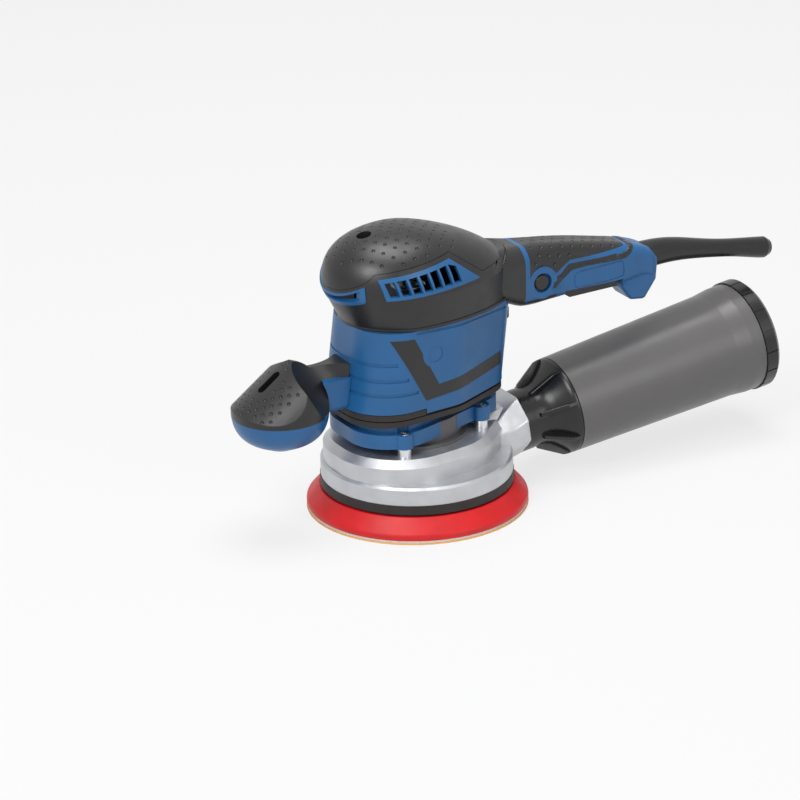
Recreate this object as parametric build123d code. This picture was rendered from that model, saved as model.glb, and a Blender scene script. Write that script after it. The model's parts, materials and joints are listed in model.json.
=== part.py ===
from build123d import *
from functools import lru_cache
import math
import os

# Random orbital sander, millimetres, +Z up.
# -X points to the front knob, +X to the rear handle, and the plane y = 0 is the plane of symmetry.
# The origin is the centre of the sanding face, on the pad's own axis.

# ---------------------------------------------------------------- general fits
RUNNING_GAP = 0.05
NEST_GAP = 0.1
SEAM_GAP = 0.3
SHELL_WALL = 3.0
GRIP_DEPTH = 1.6
REACH = 400.0

# ---------------------------------------------------------------- sanding pad
ORBIT_RADIUS = 2.0
SPINDLE_X = -ORBIT_RADIUS
DISC_THICKNESS = 0.9
HOOK_THICKNESS = 1.5
PAD_RADIUS = 75.0
HOOK_INSET = 0.6
PAD_HEIGHT = 13.6
PAD_RIM_HEIGHT = 4.5
PAD_TOP_RADIUS = 66.3
PLATE_RADIUS = 54.0
PLATE_THICKNESS = 7.0
CENTRE_HOLE_RADIUS = 7.1
DUST_HOLE_RADIUS = 2.8
DUST_HOLE_RINGS = ((22.1, 8, 0.0), (32.7, 8, 22.5), (47.8, 16, 0.0))
OUTER_HOLE_RING = (59.4, 8, 34.5)
SPINDLE_RADIUS = 6.0
PAD_SCREW_RADIUS = 3.2
PAD_SCREW_HEAD_RADIUS = 6.2
PAD_SCREW_HEAD_HEIGHT = 4.0
PAD_SCREW_LENGTH = 16.0

HOOK_Z = DISC_THICKNESS
FOAM_Z = HOOK_Z + HOOK_THICKNESS
PAD_TOP = FOAM_Z + PAD_HEIGHT

# ---------------------------------------------------------------- drive
PAD_BEARING_RADIUS = 13.0
PAD_BEARING_HEIGHT = 9.0
HUB_RADIUS = 19.0
HUB_HEIGHT = 18.0
HUB_LIFT = 9.0
SHAFT_RADIUS = 5.0
FAN_RADIUS = 38.0
FAN_PLATE = 2.0
FAN_BLADE_HEIGHT = 9.0
FAN_BLADE_WIDTH = 1.8
FAN_BLADES = 11
WEIGHT_RADIUS = 38.0
WEIGHT_HEIGHT = 6.0
WEIGHT_ANGLE = 130.0
BEARING_RADIUS = 13.0
BEARING_HEIGHT = 8.0
STATOR_RADIUS = 33.0
STATOR_HEIGHT = 44.0
CORE_RADIUS = 20.0
AIR_GAP = 0.6
CORE_SLOTS = 12
CORE_SLOT_WIDTH = 2.4
CORE_SLOT_DEPTH = 5.0
COIL_HEIGHT = 5.5
COIL_WIDTH = 9.0
COMMUTATOR_RADIUS = 11.5
COMMUTATOR_HEIGHT = 9.5
BRUSH_WIDTH = 6.5
BRUSH_HEIGHT = 8.0
BRUSH_LENGTH = 15.0
BRUSH_BOX_WALL = 1.5

HUB_Z = PAD_TOP + HUB_LIFT
FAN_Z = HUB_Z + WEIGHT_HEIGHT + 1.0

# ---------------------------------------------------------------- dust shroud
BRAKE_GAP = 0.4
BRAKE_HEIGHT = 7.3
BRAKE_WIDTH = 5.0
SHROUD_RADIUS = 65.0
SHROUD_WALL = 5.0
TIER_HEIGHT = 12.3
TIER_CHAMFER = 1.6
UPPER_WALL_HEIGHT = 11.5
SHROUD_CHAMFER = 4.9
SHROUD_ROOF = 6.0
SHROUD_FRONT = (-14.5, 4.5, 48.0)
SHROUD_REAR = (50.0, 18.0)
SHROUD_BULGE = 8.0
FLANGE_HOLE_RADIUS = 24.0

BRAKE_Z = PAD_TOP + BRAKE_GAP
SHROUD_Z = BRAKE_Z + BRAKE_HEIGHT
TIER_Z = SHROUD_Z + TIER_HEIGHT
SHROUD_TOP = TIER_Z + UPPER_WALL_HEIGHT + SHROUD_CHAMFER

# ---------------------------------------------------------------- spacer posts and lower ring
POST_RADIUS = 4.6
POST_HEIGHT = 6.6
SCREW_RADIUS = 2.1
SCREW_HOLE_RADIUS = 2.35
SCREW_HEAD_RADIUS = 4.0
SCREW_HEAD_HEIGHT = 3.0
SCREW_DEPTH = 9.0
EAR_RADIUS = 6.2
FRONT_POST = (-30.0, 37.3)
REAR_POST = (38.5, 20.5)
COLLAR_RADIUS = 33.0
COLLAR_WALL = 5.0
FLANGE_RADIUS = 37.0
FLANGE_THICKNESS = 2.5
RING_HEIGHT = 10.0
RING_NECK_HEIGHT = 5.0
RING_NECK_INSET = 4.0
RING_SPIGOT_INSET = 9.0
RING_EDGE = 1.2
RING_FRONT = (-26.0, 10.0, 30.0)
RING_REAR = (43.0, 17.0)
RING_BULGE = 0.6

RING_Z = SHROUD_TOP + POST_HEIGHT
BAND_Z = RING_Z + RING_HEIGHT + RING_NECK_HEIGHT

# ---------------------------------------------------------------- damping band and motor housing
BAND_FRONT_HEIGHT = 10.0
BAND_SIDE_HEIGHT = 6.5
BAND_INSET = 2.2
BAND_RIB_HEIGHT = 3.8
BAND_RIB_PROUD = 1.7
BAND_STEP_X = -14.0
BODY_HEIGHT = 56.0
BODY_LOW_FRONT = (-27.0, 9.0, 32.0)
BODY_LOW_REAR = (42.0, 22.0)
BODY_TOP_FRONT = (-20.0, 9.5, 31.0)
BODY_TOP_REAR = (49.0, 22.0)
BODY_BULGE = 6.0
FLANK_X = 4.0
GROOVE_DEPTH = 0.8
GROOVE_HEIGHT = 2.2
GROOVES = ((33.0, -34.0), (22.0, -27.0), (12.0, -20.0))
INLAY_HIGH = 51.0
INLAY_LOW = 5.5
INLAY_FRONT_X = -38.0
INLAY_ARM_WIDTH = 14.0
INLAY_FOOT_X = -14.0
INLAY_REAR_X = 56.0
INLAY_REAR_HEIGHT = 9.5
INLAY_REAR_RISE = 4.5
BADGE_CENTRE = (-6.0, 38.0)
BADGE_RADIUS = 10.0
BADGE_FACE_RADIUS = 7.0

BODY_Z = BAND_Z + BAND_FRONT_HEIGHT
SKIRT_Z = BAND_Z + BAND_SIDE_HEIGHT
BODY_TOP = BODY_Z + BODY_HEIGHT
STATOR_Z = BODY_Z + 2.0
COMMUTATOR_Z = STATOR_Z + STATOR_HEIGHT + COIL_HEIGHT + 3.0

# ---------------------------------------------------------------- upper housing and top cover
BRIM_RISE = 24.0
CROWN_HEIGHT = 37.0
WAIST_OVAL = (-52.0, 70.0, 40.5)
BRIM_OVAL = (-64.0, 68.0, 45.5)
CROWN_X = -10.0
LIP_HEIGHT = 2.0
LIP_PROUD = 0.8
COVER_SEAM = ((-80.0, 17.0), (-51.0, 36.0), (-45.0, 41.5), (9.0, 48.0), (32.0, 31.0), (90.0, 31.0))
SIDE_VENT = ((-41.0, 24.5), (-44.5, 38.5), (7.0, 45.0), (29.0, 28.0))
SIDE_VENT_FRAME = 2.4
SIDE_VENT_SLOTS = 7
SIDE_VENT_BLADE = 1.7
SIDE_VENT_LEAN = 2.8
FRONT_VENT = ((-80.0, 6.0), (-52.0, 22.5), (-52.0, 33.5), (-80.0, 14.5))
FRONT_VENT_FRAME = 2.4
VENT_PROUD = 0.7
VENT_DEPTH = 2.6
BRIDGE_WIDTH = 44.0
BRIDGE_HEIGHT = 8.0
BRIDGE_GAP = 1.0
COVER_HOLE_X = -36.0
COVER_HOLE_RADIUS = 5.0
COVER_BOSS_RADIUS = 7.5
COVER_SCREW_RADIUS = 3.9
COVER_SCREW_DEPTH = 12.0
COVER_SCREW_HEAD = 3.0
COVER_SCREW_SEAT = 3.0
COVER_SCREW_LENGTH = 12.0
COVER_SHANK_RADIUS = 2.1

BRIM_Z = BODY_TOP + BRIM_RISE
CROWN_Z = BRIM_Z + CROWN_HEIGHT
BRIDGE_Z = COMMUTATOR_Z + COMMUTATOR_HEIGHT + BRIDGE_GAP

# ---------------------------------------------------------------- rear handle
NECK_START_X = 52.0
NECK_X = 76.0
HANDLE_SECTIONS = (
    (40.0, 54.0, BODY_TOP + 4.0, BODY_TOP + 34.0),
    (60.0, 47.0, BODY_TOP - 4.0, BODY_TOP + 33.0),
    (76.0, 39.0, BODY_TOP - 12.0, BODY_TOP + 31.0),
    (92.0, 33.0, BODY_TOP - 13.0, BODY_TOP + 29.0),
    (124.0, 31.0, BODY_TOP - 13.0, BODY_TOP + 24.0),
    (156.0, 31.0, BODY_TOP - 13.5, BODY_TOP + 17.0),
    (180.0, 27.0, BODY_TOP - 13.0, BODY_TOP + 9.0),
)
HANDLE_ROUND = 0.32
NECK_WALL = 5.0
HOOK_WIDTH = 24.0
HOOK_DEPTH = 14.0
HOOK_EDGE = 3.5
HOOK_BEND = 3.9
HOOK_GAP = 4.0
HOOK_REAR = 6.0
TRIGGER_FRONT_X = 108.0
TRIGGER_REAR_X = 153.0
TRIGGER_WIDTH = 22.0
TRIGGER_DROP = 0.8
TRIGGER_SIDE = 7.0
TRIGGER_RISE = 6.0
TRIGGER_EDGE = 2.0
TRIGGER_PIN_RADIUS = 2.0
TRIGGER_PIN_REACH = 2.5
TRIGGER_GAP = 0.4
TRIGGER_ANGLE = 4.0
LOCK_X = 90.0
LOCK_Z = BODY_TOP + 4.5
LOCK_RING_RADIUS = 11.2
LOCK_RECESS_RADIUS = 6.9
LOCK_BUTTON_RADIUS = 5.5
LOCK_RING_PROUD = 1.6
LOCK_BUTTON_PROUD = 0.6
LOCK_BUTTON_LENGTH = 8.0
LOCK_STROKE = 3.0
GRIP_LINE = ((80.0, 1.0), (103.0, 9.0), (113.0, 15.5), (158.0, 15.5), (165.0, 22.0), (165.0, 60.0), (80.0, 60.0))
STRIP_LINE = ((104.0, 5.5), (114.0, 12.5), (150.0, 12.5), (150.0, 10.0), (116.0, 10.0), (109.0, 4.0))
NECK_GRIP_DEPTH = 3.0
NECK_GRIP_RISE = 6.0
SWITCH_LENGTH = 34.0
SWITCH_WIDTH = 17.0
SWITCH_HEIGHT = 10.0
SWITCH_LIFT = 5.0

# ---------------------------------------------------------------- cord sleeve
SLEEVE_STATIONS = (
    (-8.0, 0.0, 9.5),
    (0.0, 0.0, 9.5),
    (24.0, -1.5, 8.0),
    (46.0, -5.5, 6.6),
    (64.0, -8.8, 6.3),
    (82.0, -12.2, 7.0),
    (93.0, -14.2, 7.4),
)
SLEEVE_END_RADIUS = 5.4
SLEEVE_END_LENGTH = 4.0
CORD_RADIUS = 3.8
CORD_BORE_LENGTH = 30.0

# ---------------------------------------------------------------- auxiliary handle
KNOB_X = -102.5
KNOB_Z = 87.0
KNOB_RADIUS = 32.5
KNOB_RISE = 36.0
KNOB_DROP = 24.0
ARM_WIDTH = 27.0
ARM_TOP = 28.0
ARM_SPLIT = 19.0
ARM_LOW = -3.0
ARM_ROUND = 4.0
KNOB_SLOT = (20.0, 4.4)
KNOB_SLOT_PLACE = (-8.0, -13.0)
KNOB_SLOT_ANGLE = 8.0
KNOB_SLOT_DEPTH = 12.0
KNOB_SCREW_RADIUS = 4.0
KNOB_SCREW_LENGTH = 34.0
KNOB_SCREW_HEAD = 6.5
KNOB_SCREW_GRIP = 20.0

# ---------------------------------------------------------------- dust box
OUTLET_X = 80.0
OUTLET_Z = 41.3
OUTLET_TILT = 7.6
OUTLET_WIDTH = 36.0
OUTLET_HEIGHT = 37.0
OUTLET_CHAMFER = 8.0
STUB_RADIUS = 15.5
STUB_WALL = 2.5
STUB_LENGTH = 16.0
ADAPTER_WALL = 3.2
ADAPTER_NECK = 14.0
ADAPTER_FLARE = 16.0
ADAPTER_RIM = 8.0
ADAPTER_FINS = 8
FIN_THICKNESS = 2.2
BOX_RADIUS = 33.8
BOX_END_RADIUS = 36.6
BOX_WALL = 2.0
BOX_LENGTH = 146.0
BOX_BEAD = 1.4
CAP_RADIUS = 39.0
CAP_RING_LENGTH = 11.0
CAP_FACE = 3.0
CAP_SEGMENTS = 16
CAP_SKIRT = 1.6
CAP_TURN = 30.0
FILTER_RADIUS = 25.0
FILTER_CORE = 17.0
FILTER_PLEATS = 18
FILTER_LENGTH = 78.0
FILTER_PLATE = 3.0

# ---------------------------------------------------------------- speed wheel
WHEEL_RADIUS = 11.0
WHEEL_WIDTH = 6.0
WHEEL_PROUD = 3.0
WHEEL_RISE = 40.0
WHEEL_TEETH = 20
WHEEL_TOOTH = 0.8


# ================================================================ basic shapes
def column(radius, low, high, x=0.0, y=0.0):
    """Upright cylinder between two levels."""
    align = (Align.CENTER, Align.CENTER, Align.MIN)
    return Pos(x, y, low) * Cylinder(radius, high - low, align=align)


def tube(outer, inner, low, high, x=0.0, y=0.0):
    """Upright tube between two levels."""
    return column(outer, low, high, x, y) - column(inner, low, high, x, y)


def block(x_low, x_high, y_low, y_high, low, high):
    """Box between opposite corners."""
    size = Box(x_high - x_low, y_high - y_low, high - low, align=(Align.MIN, Align.MIN, Align.MIN))
    return Pos(x_low, y_low, low) * size


def side_prism(points, y_low, y_high):
    """Prism across Y of an outline given as (x, z) points."""
    outline = make_face(Polyline(*[(x, 0, z) for x, z in points], close=True))
    return Pos(0, y_low, 0) * extrude(outline, amount=y_high - y_low, dir=(0, 1, 0))


def level_prism(outline, low, high):
    """Prism of a flat plan outline between two levels."""
    return Pos(0, 0, low) * extrude(outline, amount=high - low)


def lifted(points, base):
    """Side-view points with their heights counted from a base level."""
    return [(x, base + rise) for x, rise in points]


def crossed(shape, tool):
    """Common volume as a plain shape."""
    return shape & tool


# ================================================================ plan outlines
def tangent(first, second):
    """Ends of the belt line that runs anticlockwise from one circle (x, y, radius) to the next."""
    span_x = second[0] - first[0]
    span_y = second[1] - first[1]
    span = math.hypot(span_x, span_y)
    along = (first[2] - second[2]) / span
    across = math.sqrt(1 - along * along)
    normal_x = (span_x * along + span_y * across) / span
    normal_y = (span_y * along - span_x * across) / span
    start = (first[0] + first[2] * normal_x, first[1] + first[2] * normal_y)
    end = (second[0] + second[2] * normal_x, second[1] + second[2] * normal_y)
    return start, end


def belt(circles):
    """Closed outline of a belt stretched anticlockwise round circles (x, y, radius)."""
    lines = [tangent(circles[index - 1], circle) for index, circle in enumerate(circles)]
    edges = []
    for index, (x, y, radius) in enumerate(circles):
        arrive = lines[index][1]
        leave = lines[(index + 1) % len(circles)][0]
        middle_x = (arrive[0] + leave[0]) / 2 - x
        middle_y = (arrive[1] + leave[1]) / 2 - y
        reach = radius / math.hypot(middle_x, middle_y)
        edges.append(Line(*lines[index]))
        edges.append(ThreePointArc(arrive, (x + middle_x * reach, y + middle_y * reach), leave))
    return make_face(edges)


def egg(front, rear, bulge, inset=0.0):
    """Egg plan: two round front corners, a round rear end and a bulge on each flank."""
    front_x, front_y, front_radius = front
    rear_x, rear_radius = rear
    line_start, line_end = tangent((rear_x, 0, rear_radius), (front_x, front_y, front_radius))
    run_x = line_end[0] - line_start[0]
    run_y = line_end[1] - line_start[1]
    offset = (FLANK_X - line_start[0]) * run_y - (0 - line_start[1]) * run_x
    flank_radius = abs(offset) / math.hypot(run_x, run_y) + bulge
    return belt([
        (rear_x, 0, rear_radius - inset),
        (FLANK_X, 0, flank_radius - inset),
        (front_x, front_y, front_radius - inset),
        (front_x, -front_y, front_radius - inset),
        (FLANK_X, 0, flank_radius - inset),
    ])


def oval(front_x, rear_x, half_width):
    """Oval plan of two half ellipses that meet at the widest section."""
    front = EllipticalCenterArc((CROWN_X, 0), CROWN_X - front_x, half_width, 90, arc_size=180)
    rear = EllipticalCenterArc((CROWN_X, 0), rear_x - CROWN_X, half_width, -90, arc_size=180)
    return make_face([front, rear])


# ================================================================ sanding pad
def hole_pattern(rings, low, high):
    """Dust holes in rings of (radius, count, first angle)."""
    holes = []
    for radius, count, start in rings:
        for index in range(count):
            angle = math.radians(start + index * 360 / count)
            holes.append(column(DUST_HOLE_RADIUS, low, high, radius * math.cos(angle), radius * math.sin(angle)))
    return holes


def make_sanding_disc():
    """Abrasive disc with its multi-hole pattern."""
    plate = tube(PAD_RADIUS, CENTRE_HOLE_RADIUS, 0, DISC_THICKNESS)
    return plate - hole_pattern(DUST_HOLE_RINGS + (OUTER_HOLE_RING,), 0, DISC_THICKNESS)


def make_hook_face():
    """Hook-and-loop layer bonded under the pad."""
    plate = tube(PAD_RADIUS - HOOK_INSET, CENTRE_HOLE_RADIUS, HOOK_Z, FOAM_Z)
    return plate - hole_pattern((OUTER_HOLE_RING,) + DUST_HOLE_RINGS[:1], HOOK_Z, FOAM_Z)


def make_pad_foam():
    """Polyurethane pad with a rounded rim, a sloping top and a pocket for its plate."""
    rim_mid = FOAM_Z + PAD_RIM_HEIGHT / 2
    rim_top = FOAM_Z + PAD_RIM_HEIGHT
    outline = [
        Line((CENTRE_HOLE_RADIUS, FOAM_Z), (PAD_RADIUS - HOOK_INSET, FOAM_Z)),
        ThreePointArc((PAD_RADIUS - HOOK_INSET, FOAM_Z), (PAD_RADIUS, rim_mid), (PAD_RADIUS - HOOK_INSET, rim_top)),
        Line((PAD_RADIUS - HOOK_INSET, rim_top), (PAD_TOP_RADIUS, PAD_TOP)),
        Line((PAD_TOP_RADIUS, PAD_TOP), (CENTRE_HOLE_RADIUS, PAD_TOP)),
        Line((CENTRE_HOLE_RADIUS, PAD_TOP), (CENTRE_HOLE_RADIUS, FOAM_Z)),
    ]
    pad = revolve(Plane.XZ * make_face(outline), Axis.Z)
    pocket = column(PLATE_RADIUS + NEST_GAP, PAD_TOP - PLATE_THICKNESS, PAD_TOP)
    holes = hole_pattern((OUTER_HOLE_RING,) + DUST_HOLE_RINGS[:1], FOAM_Z, PAD_TOP)
    return pad - pocket - holes


def make_pad_plate():
    """Stiff plate in the top of the pad, with the screw seat and a boss under the spindle."""
    low = PAD_TOP - PLATE_THICKNESS
    plate = column(PLATE_RADIUS, low, PAD_TOP)
    boss = column(SPINDLE_RADIUS + 4, PAD_TOP, HUB_Z - 1)
    screw_hole = column(PAD_SCREW_RADIUS + NEST_GAP, low, HUB_Z)
    head_seat = column(PAD_SCREW_HEAD_RADIUS + NEST_GAP, low, low + PAD_SCREW_HEAD_HEIGHT)
    spindle_seat = column(SPINDLE_RADIUS + NEST_GAP, PAD_TOP, HUB_Z)
    holes = hole_pattern(DUST_HOLE_RINGS[:1], low, PAD_TOP)
    return plate + boss - screw_hole - head_seat - spindle_seat - holes


def make_pad_spindle():
    """Spindle that turns in the pad bearing."""
    top = HUB_Z + PAD_BEARING_HEIGHT
    return column(SPINDLE_RADIUS, PAD_TOP, top) - column(PAD_SCREW_RADIUS + NEST_GAP, PAD_TOP, top - 2)


def make_pad_screw():
    """Centre screw with a hex socket that holds the pad from below."""
    seat = PAD_TOP - PLATE_THICKNESS + PAD_SCREW_HEAD_HEIGHT
    head = column(PAD_SCREW_HEAD_RADIUS, seat - PAD_SCREW_HEAD_HEIGHT, seat)
    shank = column(PAD_SCREW_RADIUS, seat, seat + PAD_SCREW_LENGTH)
    socket = Pos(0, 0, seat - PAD_SCREW_HEAD_HEIGHT) * extrude(RegularPolygon(3.2, 6), amount=2.5)
    return head + shank - socket


# ================================================================ drive
def make_pad_bearing():
    """Ball bearing of the pad spindle, offset from the motor axis."""
    return tube(PAD_BEARING_RADIUS, SPINDLE_RADIUS + RUNNING_GAP, HUB_Z, HUB_Z + PAD_BEARING_HEIGHT)


def make_eccentric_hub():
    """Hub on the motor shaft with the offset pocket of the pad bearing."""
    top = HUB_Z + HUB_HEIGHT
    hub = column(HUB_RADIUS, HUB_Z, top, SPINDLE_X)
    pocket = column(PAD_BEARING_RADIUS + NEST_GAP, HUB_Z, HUB_Z + PAD_BEARING_HEIGHT)
    bore = column(SHAFT_RADIUS + NEST_GAP, HUB_Z + PAD_BEARING_HEIGHT + 1, top, SPINDLE_X)
    return hub - pocket - bore


def make_counterweight():
    """Steel sector opposite the pad axis that balances the orbit."""
    inner = HUB_RADIUS + NEST_GAP
    half = math.radians(WEIGHT_ANGLE / 2)
    sector = tube(WEIGHT_RADIUS, inner, HUB_Z, HUB_Z + WEIGHT_HEIGHT, SPINDLE_X)
    side = WEIGHT_RADIUS * 2
    wedge = [(0, 0), (-side * math.cos(half), side * math.sin(half)), (-side * 2, 0),
             (-side * math.cos(half), -side * math.sin(half))]
    outline = make_face(Polyline(*wedge, close=True))
    return sector & (Pos(SPINDLE_X, 0, 0) * level_prism(outline, HUB_Z, HUB_Z + WEIGHT_HEIGHT))


def make_fan():
    """Suction fan: a plate on the hub with swept blades on top."""
    plate_top = FAN_Z + FAN_PLATE
    plate = tube(FAN_RADIUS, HUB_RADIUS + NEST_GAP, FAN_Z, plate_top)
    root = HUB_RADIUS + 4
    blade = Box(FAN_RADIUS - root - 1, FAN_BLADE_WIDTH, FAN_BLADE_HEIGHT, align=(Align.MIN, Align.CENTER, Align.MIN))
    blades = [Rot(0, 0, index * 360 / FAN_BLADES) * Pos(root, 0, plate_top) * Rot(0, 0, 18) * blade
              for index in range(FAN_BLADES)]
    return Pos(SPINDLE_X, 0, 0) * (plate + blades)


def make_bearing(low):
    """Deep-groove ball bearing of the motor shaft, drawn as one ring with a groove in each face."""
    ring = tube(BEARING_RADIUS, SHAFT_RADIUS + RUNNING_GAP, low, low + BEARING_HEIGHT, SPINDLE_X)
    middle = (BEARING_RADIUS + SHAFT_RADIUS) / 2
    groove = tube(middle + 1.2, middle - 1.2, low, low + 0.8, SPINDLE_X)
    return ring - groove - Pos(0, 0, BEARING_HEIGHT - 0.8) * groove


def make_shaft():
    """Motor shaft from the eccentric hub to the upper bearing."""
    low = HUB_Z + PAD_BEARING_HEIGHT + 2
    return column(SHAFT_RADIUS, low, BRIDGE_Z + BRIDGE_HEIGHT - 1, SPINDLE_X)


def make_armature_core():
    """Laminated armature core with its winding slots."""
    core = tube(CORE_RADIUS, SHAFT_RADIUS + NEST_GAP, STATOR_Z, STATOR_Z + STATOR_HEIGHT)
    middle = CORE_RADIUS - CORE_SLOT_DEPTH / 2
    slot = Pos(middle, 0, STATOR_Z) * Box(
        CORE_SLOT_DEPTH + 1, CORE_SLOT_WIDTH, STATOR_HEIGHT, align=(Align.CENTER, Align.CENTER, Align.MIN))
    slots = [Rot(0, 0, index * 360 / CORE_SLOTS) * slot for index in range(CORE_SLOTS)]
    return Pos(SPINDLE_X, 0, 0) * (core - slots)


def make_commutator():
    """Copper commutator on the shaft."""
    return tube(COMMUTATOR_RADIUS, SHAFT_RADIUS + NEST_GAP, COMMUTATOR_Z, COMMUTATOR_Z + COMMUTATOR_HEIGHT, SPINDLE_X)


def make_stator():
    """Laminated field stack pressed into the motor housing."""
    return tube(STATOR_RADIUS, CORE_RADIUS + AIR_GAP, STATOR_Z, STATOR_Z + STATOR_HEIGHT, SPINDLE_X)


def make_field_coils():
    """End turns of the field windings above and below the stack."""
    outer = CORE_RADIUS + AIR_GAP + COIL_WIDTH
    inner = CORE_RADIUS + AIR_GAP + 1
    low = tube(outer, inner, STATOR_Z - COIL_HEIGHT, STATOR_Z, SPINDLE_X)
    top = tube(outer, inner, STATOR_Z + STATOR_HEIGHT, STATOR_Z + STATOR_HEIGHT + COIL_HEIGHT, SPINDLE_X)
    return [low, top]


def brush_place():
    """Inner end and middle height of a carbon brush."""
    return COMMUTATOR_RADIUS + SEAM_GAP, BRIDGE_Z - BRUSH_BOX_WALL - BRUSH_HEIGHT / 2


def make_brushes():
    """Pair of carbon brushes."""
    start, middle = brush_place()
    brush = block(SPINDLE_X - BRUSH_WIDTH / 2, SPINDLE_X + BRUSH_WIDTH / 2, start, start + BRUSH_LENGTH,
                  middle - BRUSH_HEIGHT / 2, middle + BRUSH_HEIGHT / 2)
    return [brush, mirror(brush, Plane.XZ)]


def make_brush_holders():
    """Pair of brass brush boxes hung from the bearing bridge."""
    start, middle = brush_place()
    half_width = BRUSH_WIDTH / 2 + BRUSH_BOX_WALL
    half_height = BRUSH_HEIGHT / 2 + BRUSH_BOX_WALL
    inner = BRUSH_WIDTH / 2 + NEST_GAP
    inner_height = BRUSH_HEIGHT / 2 + NEST_GAP
    low, high = start + 1.5, start + BRUSH_LENGTH + 1
    box = block(SPINDLE_X - half_width, SPINDLE_X + half_width, low, high, middle - half_height, middle + half_height)
    hole = block(SPINDLE_X - inner, SPINDLE_X + inner, low, high - 1, middle - inner_height, middle + inner_height)
    holder = box - hole
    return [holder, mirror(holder, Plane.XZ)]


# ================================================================ dust shroud
def post_places():
    """Plan positions of the four spacer posts."""
    return [(x, side * y) for x, y in (FRONT_POST, REAR_POST) for side in (-1, 1)]


def outlet_place(distance=0.0):
    """Location on the dust outlet's axis, with Z along the axis, a distance past the outlet's end face."""
    tilt = math.radians(OUTLET_TILT)
    along = (math.cos(tilt), 0, math.sin(tilt))
    origin = (OUTLET_X + distance * along[0], 0, OUTLET_Z + distance * along[2])
    return Location(Plane(origin=origin, x_dir=(0, -1, 0), z_dir=along))


def make_brake_ring():
    """Elastomer ring between the shroud and the pad that limits the pad's free spin."""
    outer = SHROUD_RADIUS + 0.4
    ring = tube(outer, outer - BRAKE_WIDTH, BRAKE_Z, SHROUD_Z)
    lip = ring.faces().sort_by(Axis.Z)[0].edges().sort_by(SortBy.LENGTH)[-1]
    return chamfer(lip, 1.0)


def shroud_wall():
    """Outside of the shroud: round lower tier under an egg-shaped upper wall."""
    lower = column(SHROUD_RADIUS, SHROUD_Z, TIER_Z)
    lower = chamfer(lower.edges().group_by(Axis.Z)[-1], TIER_CHAMFER)
    outline = egg(SHROUD_FRONT, SHROUD_REAR, SHROUD_BULGE)
    upper = level_prism(outline, SHROUD_Z + 1, SHROUD_TOP)
    upper = chamfer(upper.edges().group_by(Axis.Z)[-1], SHROUD_CHAMFER)
    return lower + upper


def outlet_block():
    """Eight-sided outlet behind the shroud, chamfered at its mouth."""
    outline = chamfer(Rectangle(OUTLET_WIDTH, OUTLET_HEIGHT).vertices(), OUTLET_CHAMFER)
    length = OUTLET_X - SHROUD_WALL * 4
    return outlet_place(-length) * extrude(outline, amount=length)


def make_dust_shroud():
    """Die-cast shroud over the fan, with the outlet and its stub for the dust box."""
    cavity_radius = SHROUD_RADIUS - SHROUD_WALL
    cavity_top = SHROUD_TOP - SHROUD_ROOF
    stub = outlet_place() * Cylinder(STUB_RADIUS, STUB_LENGTH, align=(Align.CENTER, Align.CENTER, Align.MIN))
    start = SPINDLE_X + FLANGE_RADIUS + SEAM_GAP
    outlet = crossed(outlet_block(), block(start, REACH, -REACH, REACH, SHROUD_Z, REACH))
    outside = shroud_wall() + outlet + stub
    cavity = column(cavity_radius, SHROUD_Z, TIER_Z - SHROUD_WALL)
    outline = egg(SHROUD_FRONT, SHROUD_REAR, SHROUD_BULGE, SHROUD_WALL + SHROUD_CHAMFER / 2)
    upper_cavity = level_prism(outline, SHROUD_Z, cavity_top)
    duct_length = STUB_LENGTH + OUTLET_X / 2
    duct = outlet_place(STUB_LENGTH - duct_length) * Cylinder(
        STUB_RADIUS - STUB_WALL, duct_length, align=(Align.CENTER, Align.CENTER, Align.MIN))
    flange_hole = column(FLANGE_HOLE_RADIUS, cavity_top, SHROUD_TOP, SPINDLE_X)
    bosses = [column(POST_RADIUS, cavity_top - 6, SHROUD_TOP, x, y) for x, y in post_places()]
    holes = [column(SCREW_RADIUS + NEST_GAP, SHROUD_TOP - SCREW_DEPTH, SHROUD_TOP, x, y) for x, y in post_places()]
    return outside - cavity - upper_cavity - duct - flange_hole + bosses - holes


def make_spacer_posts():
    """Four bright aluminium posts between the shroud and the lower ring."""
    return [tube(POST_RADIUS, SCREW_HOLE_RADIUS, SHROUD_TOP, RING_Z, x, y) for x, y in post_places()]


def screw_head_z():
    """Underside of the flange screws' heads, in the ears of the lower ring."""
    return RING_Z + RING_HEIGHT - SCREW_HEAD_HEIGHT


def make_flange_screws():
    """Four pan-head screws through the ears and posts into the shroud."""
    seat = screw_head_z()
    screws = []
    for x, y in post_places():
        head = column(SCREW_HEAD_RADIUS, seat, seat + SCREW_HEAD_HEIGHT, x, y)
        head = fillet(head.edges().group_by(Axis.Z)[-1], 1.2)
        shank = column(SCREW_RADIUS, SHROUD_TOP - SCREW_DEPTH, seat, x, y)
        recess = Pos(x, y, seat + SCREW_HEAD_HEIGHT - 1.4) * extrude(RegularPolygon(1.9, 6), amount=1.4)
        screws.append(head + shank - recess)
    return screws


def make_bearing_flange():
    """Aluminium bearing shield: a flange on the shroud, a collar in the lower ring and a bearing seat."""
    bearing_low = SHROUD_TOP - SHROUD_ROOF + 1
    flange = column(FLANGE_RADIUS, SHROUD_TOP, SHROUD_TOP + FLANGE_THICKNESS, SPINDLE_X)
    collar = column(COLLAR_RADIUS, SHROUD_TOP, RING_Z + RING_HEIGHT, SPINDLE_X)
    spigot = column(FLANGE_HOLE_RADIUS - NEST_GAP, bearing_low, SHROUD_TOP, SPINDLE_X)
    hollow = column(COLLAR_RADIUS - COLLAR_WALL, bearing_low + BEARING_HEIGHT, RING_Z + RING_HEIGHT, SPINDLE_X)
    seat = column(BEARING_RADIUS + NEST_GAP, bearing_low, bearing_low + BEARING_HEIGHT, SPINDLE_X)
    return flange + collar + spigot - hollow - seat


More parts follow.
